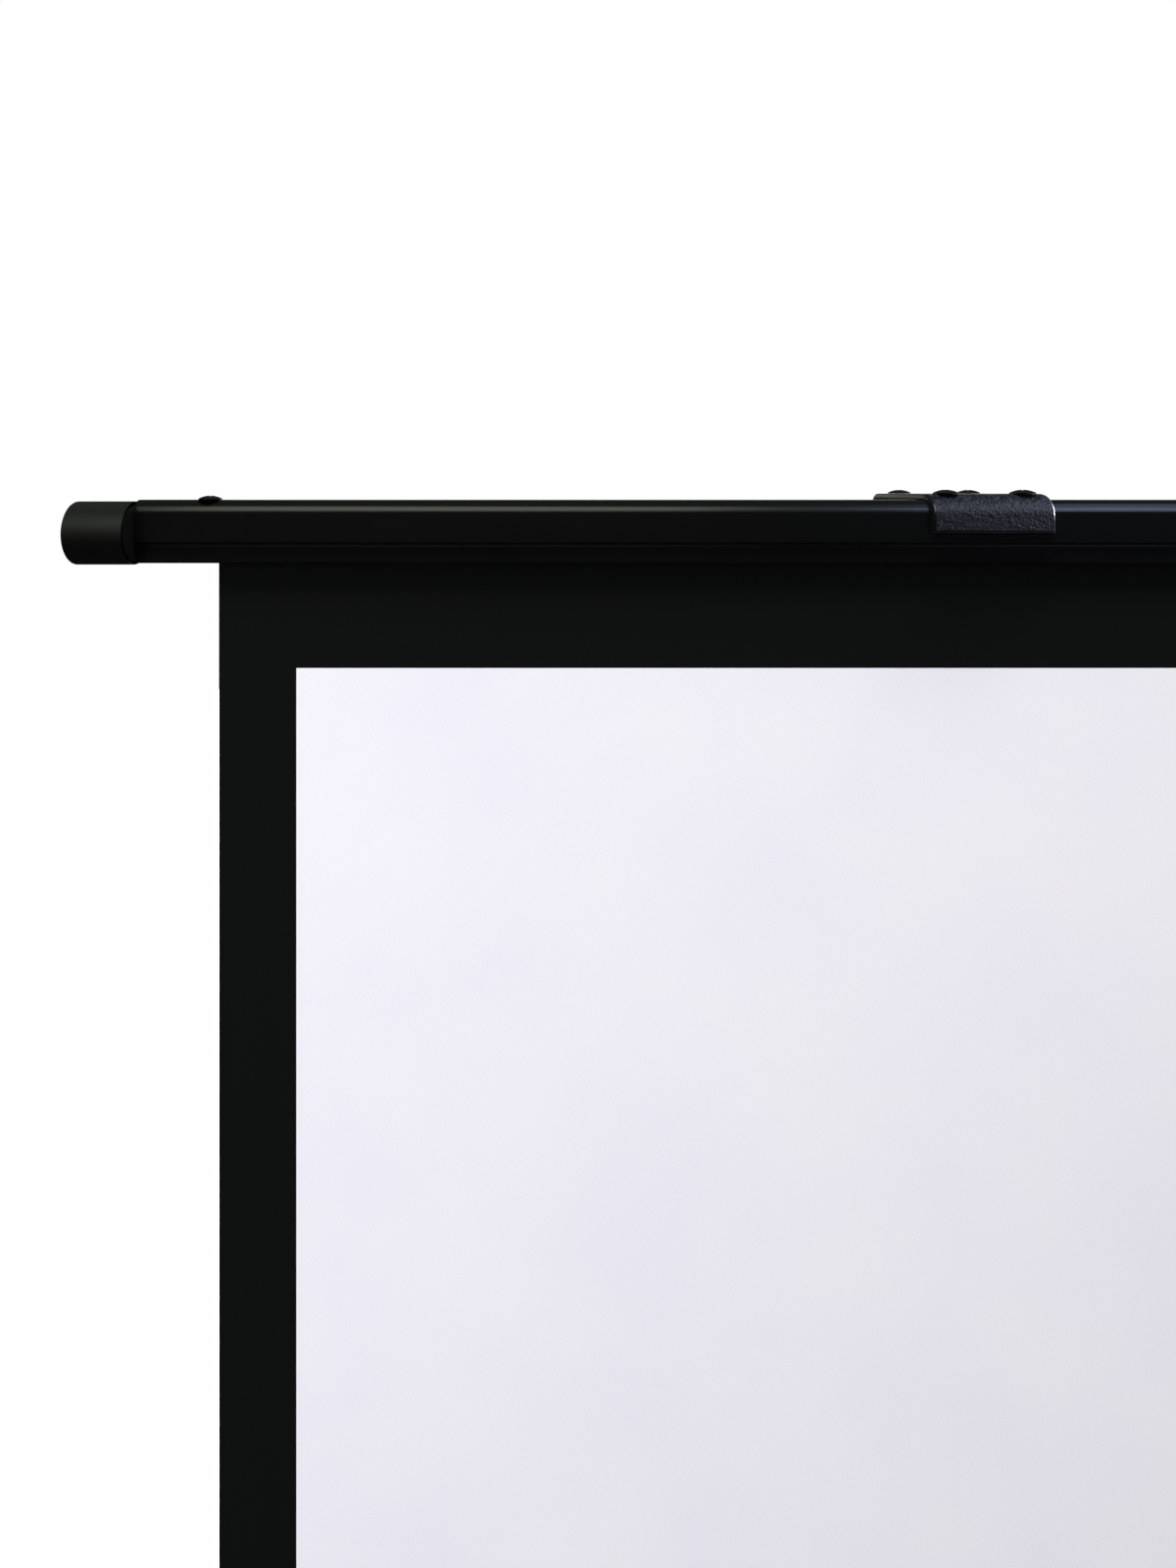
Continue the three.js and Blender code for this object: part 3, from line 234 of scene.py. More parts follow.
# %% [markdown]
# Black oxide turns the skin of a steel screw black without covering it, so the screw keeps a metal's dull gleam.
# The plated rivets, bolts and shafts are zinc: pale grey, with the fine lines of turning and rolling. The roller is
# bare drawn aluminium, lighter and a little duller than zinc.

# %% Screws and plated steel
LINE_DEPTH = 0.01
LINE_SWING = 0.08


def plain_metal(name, colour, roughness, line_size, metallic=1.0):
    material, tree = new_material(name)
    place = (add(tree, "ShaderNodeTexCoord"), "Object")
    lines = add(tree, "ShaderNodeTexNoise", {"Vector": place, "Scale": per_metre(line_size), "Detail": 3})
    raised = add(tree, "ShaderNodeBump", {
        "Height": (lines, "Fac"), "Distance": mm(LINE_DEPTH), "Strength": 0.5})
    rough = add(tree, "ShaderNodeMapRange", {
        "Value": (lines, "Fac"), "From Min": NOISE_LOW, "From Max": NOISE_HIGH,
        "To Min": roughness - LINE_SWING, "To Max": roughness + LINE_SWING})
    shader = add(tree, "ShaderNodeBsdfPrincipled", {
        "Base Color": linear(colour), "Metallic": metallic,
        "Roughness": (rough, "Result"), "Normal": (raised, "Normal")})
    add(tree, "ShaderNodeOutputMaterial", {"Surface": (shader, "BSDF")})
    return material


black_oxide = plain_metal("steel_turned_black_oxide", "#1b1c1f", roughness=0.42, line_size=0.6, metallic=0.75)
zinc_steel = plain_metal("steel_turned_zinc_plated", "#b4b7ba", roughness=0.32, line_size=0.7)
roller_metal = plain_metal("aluminium_drawn_mill_finish", "#c3c5c8", roughness=0.38, line_size=1.2)
print("made", black_oxide.name, zinc_steel.name, roller_metal.name)

# %% [markdown]
# The saddle bracket is bent steel with a hammered powder coat. The powder flows into small hills about 0.9 mm
# apart, and each hill sends back its own spark of light, with a slight blue from the pigment's metal flakes. Hills
# that small are hardly two pixels wide here, so they are drawn at 1.3 mm to show. Cell noise makes them, because
# plain noise has no separate hills. Where the flakes gather, the coat is smoother and paler: the pale blue-grey
# cells are partly the flakes' own tone and partly painted sparkle.

# %% Hammered powder coat
HILL_SIZE = 1.3
HILL_HEIGHT = 0.2
WANDER_SIZE = 1.1
WANDER_HEIGHT = 0.16
SPARKLE_FLAKE_SIZE = 1.0
CELL_BLUR = 0.3

hammer_coat, tree = new_material("steel_bent_hammered_black_powder_coat")
place = (add(tree, "ShaderNodeTexCoord"), "Object")
hills = add(tree, "ShaderNodeTexVoronoi", {
    "Vector": place, "Scale": per_metre(HILL_SIZE), "Smoothness": CELL_BLUR}, feature="SMOOTH_F1")
flake_tone_and_painted_sparkle = add(tree, "ShaderNodeTexVoronoi", {
    "Vector": place, "Scale": per_metre(SPARKLE_FLAKE_SIZE), "Smoothness": CELL_BLUR}, feature="SMOOTH_F1")
wander = add(tree, "ShaderNodeTexNoise", {"Vector": place, "Scale": per_metre(WANDER_SIZE)})
humps = add(tree, "ShaderNodeBump", {
    "Height": (hills, "Distance"), "Distance": mm(HILL_HEIGHT), "Strength": 1.0})
uneven = add(tree, "ShaderNodeBump", {
    "Height": (wander, "Fac"), "Distance": mm(WANDER_HEIGHT), "Strength": 1.0, "Normal": (humps, "Normal")})
# Pale cells: partly the flakes' own tone, partly painted sparkle.
share = add(tree, "ShaderNodeMapRange", {"Value": (flake_tone_and_painted_sparkle, "Color"), "From Min": 0.45, "From Max": 0.85})
mixed = add(tree, "ShaderNodeMix", {
    MIX_SHARE: (share, "Result"), MIX_FIRST: linear("#060708"), MIX_SECOND: linear("#1d2028")},
    data_type="RGBA")
rough = add(tree, "ShaderNodeMapRange", {
    "Value": (flake_tone_and_painted_sparkle, "Color"), "From Min": NOISE_LOW, "From Max": NOISE_HIGH, "To Min": 0.46, "To Max": 0.3})
shader = add(tree, "ShaderNodeBsdfPrincipled", {
    "IOR": 1.5, "Specular IOR Level": 0.42,
    "Base Color": (mixed, MIXED), "Roughness": (rough, "Result"), "Normal": (uneven, "Normal")})
add(tree, "ShaderNodeOutputMaterial", {"Surface": (shader, "BSDF")})
print("made", hammer_coat.name)

# %% [markdown]
# On a sheared edge the powder draws back and dries thin and smooth, so the edge shines. The bevels that face right
# get a bright steel finish: a painted highlight for the line of light along the saddle's right edge. Both are
# nearly smooth, with a shallow grain.

# %% Cut edges of the saddle
EDGE_GRAIN = 1.2
EDGE_DEPTH = 0.004
EDGE_SPECULAR = 0.8

cut_edge = even_grained("steel_sheared_edge_thin_powder_coat", "#0b0c0f", roughness=0.26, grain_size=EDGE_GRAIN,
                        depth=EDGE_DEPTH, specular=EDGE_SPECULAR)
# The bright steel colour is a painted highlight for the saddle's right edge.
right_edge_painted_highlight = even_grained("steel_sheared_edge_painted_highlight", "#8c8e92", roughness=0.28, grain_size=EDGE_GRAIN,
                         depth=EDGE_DEPTH, specular=EDGE_SPECULAR, metallic=0.8)
print("made", cut_edge.name, "and", right_edge_painted_highlight.name)

# %% [markdown]
# The arms and yokes are pressed steel with a fine matt powder coat, duller than the bar so that no light shines
# through onto the picture.

# %% Matt powder coat
arm_coat = even_grained("steel_pressed_matt_black_powder_coat", "#121315", roughness=0.48, grain_size=0.9,
                        depth=0.04, specular=0.45)
print("made", arm_coat.name)

# %% [markdown]
# The picture surface is a vinyl cloth with a printed black border. The pattern follows the cloth when it is wound
# down, so it reads the cloth's own UV map, scaled to metres. The printed edge is sharp: a point is white where it
# lies inside the picture both across and upright.

# %% Where the cloth is white
CLOTH_WIDTH = 791
PICTURE_WIDTH = 711
CLOTH_BOTTOM = 46.9
CLOTH_TOP = 701.7
PICTURE_TOP = 644.9
PICTURE_BOTTOM = 111.9
CLOTH_HEIGHT = CLOTH_TOP - CLOTH_BOTTOM
CLOTH_UV = "cloth"

screen_cloth, tree = new_material("vinyl_cloth_embossed_matt_white_black_printed_border")
uv = add(tree, "ShaderNodeUVMap", uv_map=CLOTH_UV)
metres = add(tree, "ShaderNodeVectorMath", {0: (uv, "UV"), 1: mm(CLOTH_WIDTH, CLOTH_HEIGHT, 1)},
             operation="MULTIPLY")
axes = add(tree, "ShaderNodeSeparateXYZ", {"Vector": (metres, "Vector")})


def inside(axis, low, high):
    middle = mm((low + high) / 2)
    off = add(tree, "ShaderNodeMath", {0: (axes, axis), 1: middle}, operation="SUBTRACT")
    size = add(tree, "ShaderNodeMath", {0: (off, "Value")}, operation="ABSOLUTE")
    return add(tree, "ShaderNodeMath", {0: (size, "Value"), 1: mm((high - low) / 2)}, operation="LESS_THAN")


side_border = (CLOTH_WIDTH - PICTURE_WIDTH) / 2
across = inside("X", side_border, CLOTH_WIDTH - side_border)
upright = inside("Y", PICTURE_BOTTOM - CLOTH_BOTTOM, PICTURE_TOP - CLOTH_BOTTOM)
white_share = add(tree, "ShaderNodeMath", {0: (across, "Value"), 1: (upright, "Value")}, operation="MULTIPLY")
print("the picture is", PICTURE_WIDTH, "by", round(PICTURE_TOP - PICTURE_BOTTOM), "mm")

# %% [markdown]
# The face of the cloth is embossed with grains of about 1.2 mm that spread the light, and it has a faint
# cloudiness, a hand's width across, that a flat white would lack. Each of the two noises mixes two almost equal
# whites. Soft vinyl hardly shines, and the black cloth of its back shines as little.

# %% Printed vinyl cloth
EMBOSS_SIZE = 1.2
EMBOSS_DEPTH = 0.02
CLOUD_SIZE = 90
VINYL_LOW = 0.35
VINYL_HIGH = 0.65


def two_whites(noise, pale):
    share = add(tree, "ShaderNodeMapRange", {
        "Value": (noise, "Fac"), "From Min": VINYL_LOW, "From Max": VINYL_HIGH})
    return add(tree, "ShaderNodeMix", {
        MIX_SHARE: (share, "Result"), MIX_FIRST: linear("#eeedf3"), MIX_SECOND: linear(pale)},
        data_type="RGBA")


on_cloth = (metres, "Vector")
emboss = add(tree, "ShaderNodeTexNoise", {"Vector": on_cloth, "Scale": per_metre(EMBOSS_SIZE), "Detail": 3})
cloud = add(tree, "ShaderNodeTexNoise", {"Vector": on_cloth, "Scale": per_metre(CLOUD_SIZE), "Detail": 3})
speckled = two_whites(emboss, "#f5f4f6")
clouded = two_whites(cloud, "#f4f3f4")
white = add(tree, "ShaderNodeMix", {MIX_SHARE: 0.5, MIX_FIRST: (speckled, MIXED), MIX_SECOND: (clouded, MIXED)},
            data_type="RGBA")
printed = add(tree, "ShaderNodeMix", {
    MIX_SHARE: (white_share, "Value"), MIX_FIRST: linear("#0e100e"), MIX_SECOND: (white, MIXED)},
    data_type="RGBA")
raised = add(tree, "ShaderNodeBump", {
    "Height": (emboss, "Fac"), "Distance": mm(EMBOSS_DEPTH), "Strength": 0.5})
shader = add(tree, "ShaderNodeBsdfPrincipled", {
    "IOR": 1.45, "Specular IOR Level": 0.08, "Roughness": 0.85,
    "Base Color": (printed, MIXED), "Normal": (raised, "Normal")})
add(tree, "ShaderNodeOutputMaterial", {"Surface": (shader, "BSDF")})

black_cloth = even_grained("vinyl_cloth_black_backing", "#0b0c0c", roughness=0.85, grain_size=1.2, depth=0.03,
                           specular=0.1)
print("made", screen_cloth.name, "and", black_cloth.name)


# %% [markdown]
# Each new piece ends in the same way. Its mesh becomes an object at the origin, its sharp edges are kept and the
# rest is shaded smooth, and then it is attached to the CAD body that carries it, and the CAD nodes it replaces are
# hidden.

# %% Finish a piece
SHARP = math.radians(38)


def keep_piece(name, bm, material, body, slot, *nodes, turn_out=True):
    if turn_out:
        bmesh.ops.recalc_face_normals(bm, faces=bm.faces)
    mesh = bpy.data.meshes.new(name)
    bm.to_mesh(mesh)
    bm.free()
    mesh.polygons.foreach_set("use_smooth", [True] * len(mesh.polygons))
    mesh.set_sharp_from_angle(angle=SHARP)
    mesh.materials.append(material)
    piece = bpy.data.objects.new(name, mesh)
    bpy.context.scene.collection.objects.link(piece)
    flats = piece.modifiers.new("flat faces stay flat", "WEIGHTED_NORMAL")
    flats.keep_sharp = True
    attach(piece, body)
    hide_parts(*nodes)
    return piece


def bevel_edges(bm, edges, width_mm, segments=3):
    made = bmesh.ops.bevel(bm, geom=list(edges), offset=mm(width_mm), offset_type="OFFSET", segments=segments,
                           profile=0.5, affect="EDGES", material=-1, clamp_overlap=True)
    return made["faces"]


print("edges sharper than", round(math.degrees(SHARP)), "degrees stay sharp")


# %% [markdown]
# Bent sheet and extrusions have one outline all along. The outline starts as a few corner points in the Y and Z
# plane. Each corner that the real section rounds is cut back with a vertex bevel, and the face is then extruded
# along X. Spinning or lofting would need more points for the same shape. A bend shows as a wide highlight and gets
# many steps, and a small corner gets few.

# %% Extrude a rounded section
BEND_FROM = 3
BEND_STEPS = 14
CORNER_STEPS = 3


def section_face(bm, corners, x_mm):
    points = [bm.verts.new(mm(x_mm, y, z)) for y, z, _ in corners]
    bm.faces.new(points)
    rounded = {}
    for point, (_, _, radius) in zip(points, corners):
        if radius:
            rounded.setdefault(radius, []).append(point)
    for radius, group in rounded.items():
        steps = BEND_STEPS if radius > BEND_FROM else CORNER_STEPS
        bmesh.ops.bevel(bm, geom=group, offset=mm(radius), offset_type="OFFSET", segments=steps, profile=0.5,
                        affect="VERTICES", material=-1)
    return bm.faces[:]


def extrude_section(corners, from_mm, to_mm):
    bm = bmesh.new()
    faces = section_face(bm, corners, from_mm)
    moved = bmesh.ops.extrude_face_region(bm, geom=faces)
    top = [item for item in moved["geom"] if isinstance(item, bmesh.types.BMVert)]
    bmesh.ops.translate(bm, verts=top, vec=mm(to_mm - from_mm, 0, 0))
    open_edges = [edge for edge in bm.edges if edge.is_boundary]
    if open_edges:
        bmesh.ops.holes_fill(bm, edges=open_edges, sides=0)
    bmesh.ops.recalc_face_normals(bm, faces=bm.faces)
    return bm


print("bends over", BEND_FROM, "mm have", BEND_STEPS, "steps, small corners", CORNER_STEPS)

# %% [markdown]
# The top bar hangs the fabric from its neck: a round-topped box above, a groove, and a keyhole below that grips a
# rod in the fabric's hem. The keyhole is part of the outline, so it runs the whole length, as the die makes it. The
# crown is rounder in front than behind, and the width of its line of light in the photograph gives that radius.
# Each corner of the outline has its place from the fabric's plane, its height over the neck's foot and its radius.

# %% Top bar
FABRIC_Y = -9
BAR_BOTTOM = 699.4
BAR_HEIGHT = 32.5
BAR_TOP = BAR_BOTTOM + BAR_HEIGHT
BAR_END = 436.8
BOX_HALF = 6
BOX_FOOT = 10.6
CROWN_FRONT = 6.8
CROWN_REAR = 5.18
GROOVE_HALF = 3.3
NECK_HALF = 4.2
NECK_TOP = 9
HOLE_HALF = 2.9
HOLE_FOOT = 1.9
HOLE_TOP = 7.4
SLOT_HALF = 0.9

bar_corners = [
    (NECK_HALF, 0, 0.6), (NECK_HALF, NECK_TOP, 0.12), (GROOVE_HALF, NECK_TOP, 0), (GROOVE_HALF, BOX_FOOT, 0),
    (BOX_HALF, BOX_FOOT, 0.5), (BOX_HALF, BAR_HEIGHT, CROWN_REAR),
    (-BOX_HALF, BAR_HEIGHT, CROWN_FRONT), (-BOX_HALF, BOX_FOOT, 0.5),
    (-GROOVE_HALF, BOX_FOOT, 0), (-GROOVE_HALF, NECK_TOP, 0), (-NECK_HALF, NECK_TOP, 0.12), (-NECK_HALF, 0, 0.6),
    (-SLOT_HALF, 0, 0.3), (-SLOT_HALF, HOLE_FOOT, 0), (-HOLE_HALF, HOLE_FOOT, 1.8), (-HOLE_HALF, HOLE_TOP, 2.8),
    (HOLE_HALF, HOLE_TOP, 2.8), (HOLE_HALF, HOLE_FOOT, 1.8), (SLOT_HALF, HOLE_FOOT, 0), (SLOT_HALF, 0, 0.3),
]
placed = [(FABRIC_Y + y, BAR_BOTTOM + z, radius) for y, z, radius in bar_corners]
bar = keep_piece("top_bar_satin", extrude_section(placed, -BAR_END, BAR_END), bar_coat, "top_bar", "bar_paint",
                 "top_bar")
print("top bar has", len(bar.data.polygons), "faces")

# %% [markdown]
# A round cap closes each end of the bar. It is a turned shape, so only half of its outline is drawn. Each point has
# its place along the bar and its radius. The outer face is a shallow dish. Just inside the inner rim, a groove that
# widens inwards makes the thin dark ring of the photograph.

# %% Outline of a round end cap
CAP_RADIUS = 16.2
CAP_OUTER = 467
CAP_INNER = 437
DISH_DEPTH = 0.5
DISH_RADIUS = 12.6
DISH_RIM = 13.4
RING_OUTER = 16.0
RING_INNER = 14.2
RING_DEPTH = 2.5
RING_FLOOR_OUTER = 15.9
RING_FLOOR_INNER = 12.9
RING_LIP = 0.3

cap_outline = [
    (CAP_OUTER - DISH_DEPTH, 0), (CAP_OUTER - DISH_DEPTH, DISH_RADIUS), (CAP_OUTER, DISH_RIM),
    (CAP_OUTER, CAP_RADIUS), (CAP_INNER, CAP_RADIUS), (CAP_INNER, RING_OUTER),
    (CAP_INNER + RING_DEPTH, RING_FLOOR_OUTER), (CAP_INNER + RING_DEPTH, RING_FLOOR_INNER),
    (CAP_INNER + RING_LIP, RING_INNER), (CAP_INNER, RING_INNER), (CAP_INNER, 0),
]
print("the outline of a cap has", len(cap_outline), "points")


# %% [markdown]
# A lathe turns the real mould, and a spin is Blender's lathe. It closes on its own start, and the points that all
# meet on the axis are merged, so that the skin has no hole there.

# %% Spin an outline
SAME_PLACE = 1e-6


def spin_outline(bm, outline, centre, axis, steps):
    points = [bm.verts.new(point) for point in outline]
    edges = [bm.edges.new(pair) for pair in zip(points, points[1:])]
    bmesh.ops.spin(bm, geom=points + edges, cent=centre, axis=axis, angle=2 * math.pi, steps=steps,
                   use_merge=True, use_duplicate=False)
    bmesh.ops.remove_doubles(bm, verts=bm.verts, dist=SAME_PLACE)


print("points within", SAME_PLACE, "m of each other are merged")

# %% [markdown]
# The cap's outer rim is bevelled, because a hand meets it there. A block behind the cap is the plug that is pressed
# into the bar. Both sides are made alike, with the places along the bar turned round for the left one.

# %% Round end caps
CAP_Y = -12.5
CAP_Z = 714.9
CAP_STEPS = 96
CAP_BEVEL = 1.0
SAME_RADIUS = 1e-5
PLUG_BACK = 417
PLUG_DEPTH = 8.2
PLUG_HEIGHT = 17
PLUG_MIDDLE = 21.2
PLUG_BEVEL = 0.8

for side, word in ((-1, "left"), (1, "right")):
    bm = bmesh.new()
    outline = [mm(side * x, CAP_Y, CAP_Z + radius) for x, radius in cap_outline]
    spin_outline(bm, outline, mm(0, CAP_Y, CAP_Z), (1, 0, 0), CAP_STEPS)
    rim = [edge for edge in bm.edges if all(
        abs(vert.co.x - mm(side * CAP_OUTER)) < SAME_PLACE
        and abs((vert.co - mm(side * CAP_OUTER, CAP_Y, CAP_Z)).length - mm(CAP_RADIUS)) < SAME_RADIUS
        for vert in edge.verts)]
    bevel_edges(bm, rim, CAP_BEVEL, segments=4)
    plug_size = mm(CAP_INNER - PLUG_BACK, PLUG_DEPTH, PLUG_HEIGHT)
    plug_place = mm(side * (CAP_INNER + PLUG_BACK) / 2, FABRIC_Y, BAR_BOTTOM + PLUG_MIDDLE)
    plug = bmesh.ops.create_cube(bm, size=1, matrix=Matrix.Translation(plug_place) @ Matrix.Diagonal(
        (*plug_size, 1)))
    bevel_edges(bm, {edge for vert in plug["verts"] for edge in vert.link_edges}, PLUG_BEVEL)
    cap = keep_piece(f"bar_end_cap_{word}_rubber", bm, cap_rubber, "top_bar", "cap_rubber",
                     f"bar_end_cap_{word}")
    print(cap.name, "has", len(cap.data.polygons), "faces")

# %% [markdown]
# A truss-head screw has a wide low dome, which is part of a ball. The width and the height of the dome give the
# radius of the ball, and that gives the height of the dome at any distance from its middle.

# %% The dome of a truss-head screw
HEAD_RADIUS = 5.9
DOME_HEIGHT = 1.6
RIM_HEIGHT = 0.5

ball = (HEAD_RADIUS ** 2 + DOME_HEIGHT ** 2) / (2 * DOME_HEIGHT)


def dome_height(radius):
    return RIM_HEIGHT + DOME_HEIGHT - ball + math.sqrt(ball ** 2 - radius ** 2)


print("the dome is part of a ball with a radius of", round(ball, 1), "mm")


# %% [markdown]
# A punch drives the cross into the real head. Here the faces that lie under the cross are found first: those round
# the middle, and those within 15 degrees of one of its four arms.

# %% The cross of a truss-head screw
CROSS_REACH = 3.2
CROSS_CORE = 1.1
CROSS_HALF_ANGLE = 15
QUARTER_TURN = 90


def under_cross(face):
    middle = face.calc_center_median() * MM_PER_METRE
    reach = math.hypot(middle.x, middle.y)
    if middle.z < RIM_HEIGHT or reach > CROSS_REACH:
        return False
    turned = math.degrees(math.atan2(middle.y, middle.x)) % QUARTER_TURN
    return reach < CROSS_CORE or turned < CROSS_HALF_ANGLE or turned > QUARTER_TURN - CROSS_HALF_ANGLE


print("the cross is", 2 * CROSS_REACH, "mm wide")


# %% [markdown]
# The whole screw is spun, and the faces under the cross are extruded down into it, where they get a little smaller.
# The rings of the outline are placed so that two of them end exactly where the cross ends. A screw stops turning
# where it is tight, so each cross points its own way: it turns with the place of its screw.

# %% Make a truss-head screw
HEAD_CHAMFER = 0.2
HEAD_STEPS = 48
SHANK_RADIUS = 2.5
SHANK_LENGTH = 7
CROSS_DEPTH = 1.3
CROSS_TAPER = 0.8
DOME_RINGS = (5.6, 5.0, 4.1, CROSS_REACH, 2.1, CROSS_CORE, 0)
TURN_PER_MM = 0.11


def truss_screw(name, x, y, z, body, slot, node):
    bm = bmesh.new()
    outline = [(0, -SHANK_LENGTH), (SHANK_RADIUS, -SHANK_LENGTH), (SHANK_RADIUS, 0),
               (HEAD_RADIUS - HEAD_CHAMFER, 0), (HEAD_RADIUS, HEAD_CHAMFER), (HEAD_RADIUS, RIM_HEIGHT)]
    outline += [(radius, dome_height(radius)) for radius in DOME_RINGS]
    spin_outline(bm, [mm(radius, 0, height) for radius, height in outline], (0, 0, 0), (0, 0, 1), HEAD_STEPS)
    bmesh.ops.recalc_face_normals(bm, faces=bm.faces)
    recess = [face for face in bm.faces if under_cross(face)]
    sunk = bmesh.ops.extrude_face_region(bm, geom=recess)
    deep = [item for item in sunk["geom"] if isinstance(item, bmesh.types.BMVert)]
    bmesh.ops.translate(bm, verts=deep, vec=mm(0, 0, -CROSS_DEPTH))
    bmesh.ops.scale(bm, verts=deep, vec=(CROSS_TAPER, CROSS_TAPER, 1))
    bmesh.ops.delete(bm, geom=[face for face in recess if face.is_valid], context="FACES")
    turn = Matrix.Rotation(x * TURN_PER_MM + y, 3, "Z")
    bmesh.ops.rotate(bm, verts=bm.verts, cent=(0, 0, 0), matrix=turn)
    bmesh.ops.translate(bm, verts=bm.verts, vec=mm(x, y, z))
    return keep_piece(name, bm, black_oxide, body, slot, node)


print("a screw is", round(SHANK_LENGTH + dome_height(0), 1), "mm long")

# %% [markdown]
# One screw sits near each end of the bar. Four more hold the saddle, the front pair to the bar and the rear pair to
# the yoke behind it. Each head sits a hair above its seat, so that no two faces lie in one plane.

# %% Place the screws
SADDLE_TOP = 734.95
SEAT = 0.05
END_SCREW_X = 400
SADDLE_SCREW_X = 19.9
REAR_SCREW_Y = 38

screw_places = {
    "bar_end_screw_left": (-END_SCREW_X, FABRIC_Y, BAR_TOP + SEAT),
    "bar_end_screw_right": (END_SCREW_X, FABRIC_Y, BAR_TOP + SEAT),
    "saddle_screw_front_left": (-SADDLE_SCREW_X, FABRIC_Y, SADDLE_TOP + SEAT),
    "saddle_screw_front_right": (SADDLE_SCREW_X, FABRIC_Y, SADDLE_TOP + SEAT),
    "saddle_screw_rear_left": (-SADDLE_SCREW_X, REAR_SCREW_Y, SADDLE_TOP + SEAT),
    "saddle_screw_rear_right": (SADDLE_SCREW_X, REAR_SCREW_Y, SADDLE_TOP + SEAT),
}
for node, (x, y, z) in screw_places.items():
    screw = truss_screw(f"{node}_truss", x, y, z, "top_bar", "screw_black", node)
print("made", len(screw_places), "screws with", len(screw.data.polygons), "faces each")

# %% [markdown]
# The saddle bracket is a strip of steel bent down over the front of the bar and down again behind it. Its outline
# goes along the outer face and back along the inner one. The sheet is as thick in the bends as elsewhere, so an
# inner bend is the outer one less the sheet.

# %% Bend the saddle bracket
SADDLE_HALF = 31
SADDLE_FRONT = -18.05
SADDLE_REAR = 47.95
SHEET = 2.75
FRONT_DROP = 20
REAR_DROP = 15
FRONT_BEND = 10.5
REAR_BEND = 5

saddle_corners = [
    (SADDLE_FRONT, SADDLE_TOP - FRONT_DROP, 0),
    (SADDLE_FRONT, SADDLE_TOP, FRONT_BEND),
    (SADDLE_REAR, SADDLE_TOP, REAR_BEND),
    (SADDLE_REAR, SADDLE_TOP - REAR_DROP, 0),
    (SADDLE_REAR - SHEET, SADDLE_TOP - REAR_DROP, 0),
    (SADDLE_REAR - SHEET, SADDLE_TOP - SHEET, REAR_BEND - SHEET),
    (SADDLE_FRONT + SHEET, SADDLE_TOP - SHEET, FRONT_BEND - SHEET),
    (SADDLE_FRONT + SHEET, SADDLE_TOP - FRONT_DROP, 0),
]
bm = extrude_section(saddle_corners, -SADDLE_HALF, SADDLE_HALF)
print("saddle is", 2 * SADDLE_HALF, "mm wide and", SADDLE_REAR - SADDLE_FRONT, "mm deep")

# %% [markdown]
# The shears roll the outer side of a cut edge over much more than the inner side, so the outer edges get a wide
# bevel and the inner ones a narrow one. The wide one catches the light that comes along the bar. A face's normal
# tells which side of the sheet it is on. The bevels take the finish of a cut edge, and where they face right, the
# bright steel one, which is a painted highlight.

# %% Roll over the saddle's cut edges
CUT_ANGLE = math.radians(60)
OUTER_BEVEL = 1.6
INNER_BEVEL = 0.4
BEVEL_STEPS = 5
CUT_FINISH = 1
PAINTED_HIGHLIGHT_FINISH = 2
FACING_SIDEWAYS = 0.5
FACING_RIGHT = 0.3
CLEARLY_OUTSIDE = mm(1)

middle = mm(0, (SADDLE_FRONT + SADDLE_REAR) / 2, SADDLE_TOP - FRONT_DROP)
cut_around = [edge for edge in bm.edges if edge.calc_face_angle() > CUT_ANGLE]
outer = [edge for edge in cut_around if any(
    abs(face.normal.x) < FACING_SIDEWAYS
    and face.normal.dot(face.calc_center_median() - middle) > CLEARLY_OUTSIDE
    for face in edge.link_faces)]
inner = [edge for edge in cut_around if edge not in outer]
for edges, width in ((outer, OUTER_BEVEL), (inner, INNER_BEVEL)):
    for face in bevel_edges(bm, [edge for edge in edges if edge.is_valid], width, BEVEL_STEPS):
        face.material_index = CUT_FINISH
bm.normal_update()
# Bevels that face right get the bright finish, a painted highlight for the saddle's right edge.
for face in bm.faces:
    if face.material_index == CUT_FINISH and face.normal.x > FACING_RIGHT:
        face.material_index = PAINTED_HIGHLIGHT_FINISH
print("saddle has", len(outer), "outer and", len(inner), "inner cut edges")
saddle = keep_piece("saddle_bracket_hammered", bm, hammer_coat, "top_bar", "saddle_coat", "saddle_bracket")
saddle.data.materials.append(cut_edge)
saddle.data.materials.append(right_edge_painted_highlight)
print("saddle has", len(saddle.data.polygons), "faces")

# %% [markdown]
# The fabric is one flat sheet from the roller in the case up to the rod in the bar's neck. A strip of it is a grid
# with a Solidify modifier for its thickness and the black backing as a second material. Its UV map counts from the
# foot of the whole sheet, so the print runs on from one strip to the next. The cloth's normals stay flat, because
# smooth ones would shade its rim like a cushion.

# %% A strip of the fabric
CLOTH_THICKNESS = 0.45
CLOTH_COLUMNS = 24
GRID_HALF = 0.5


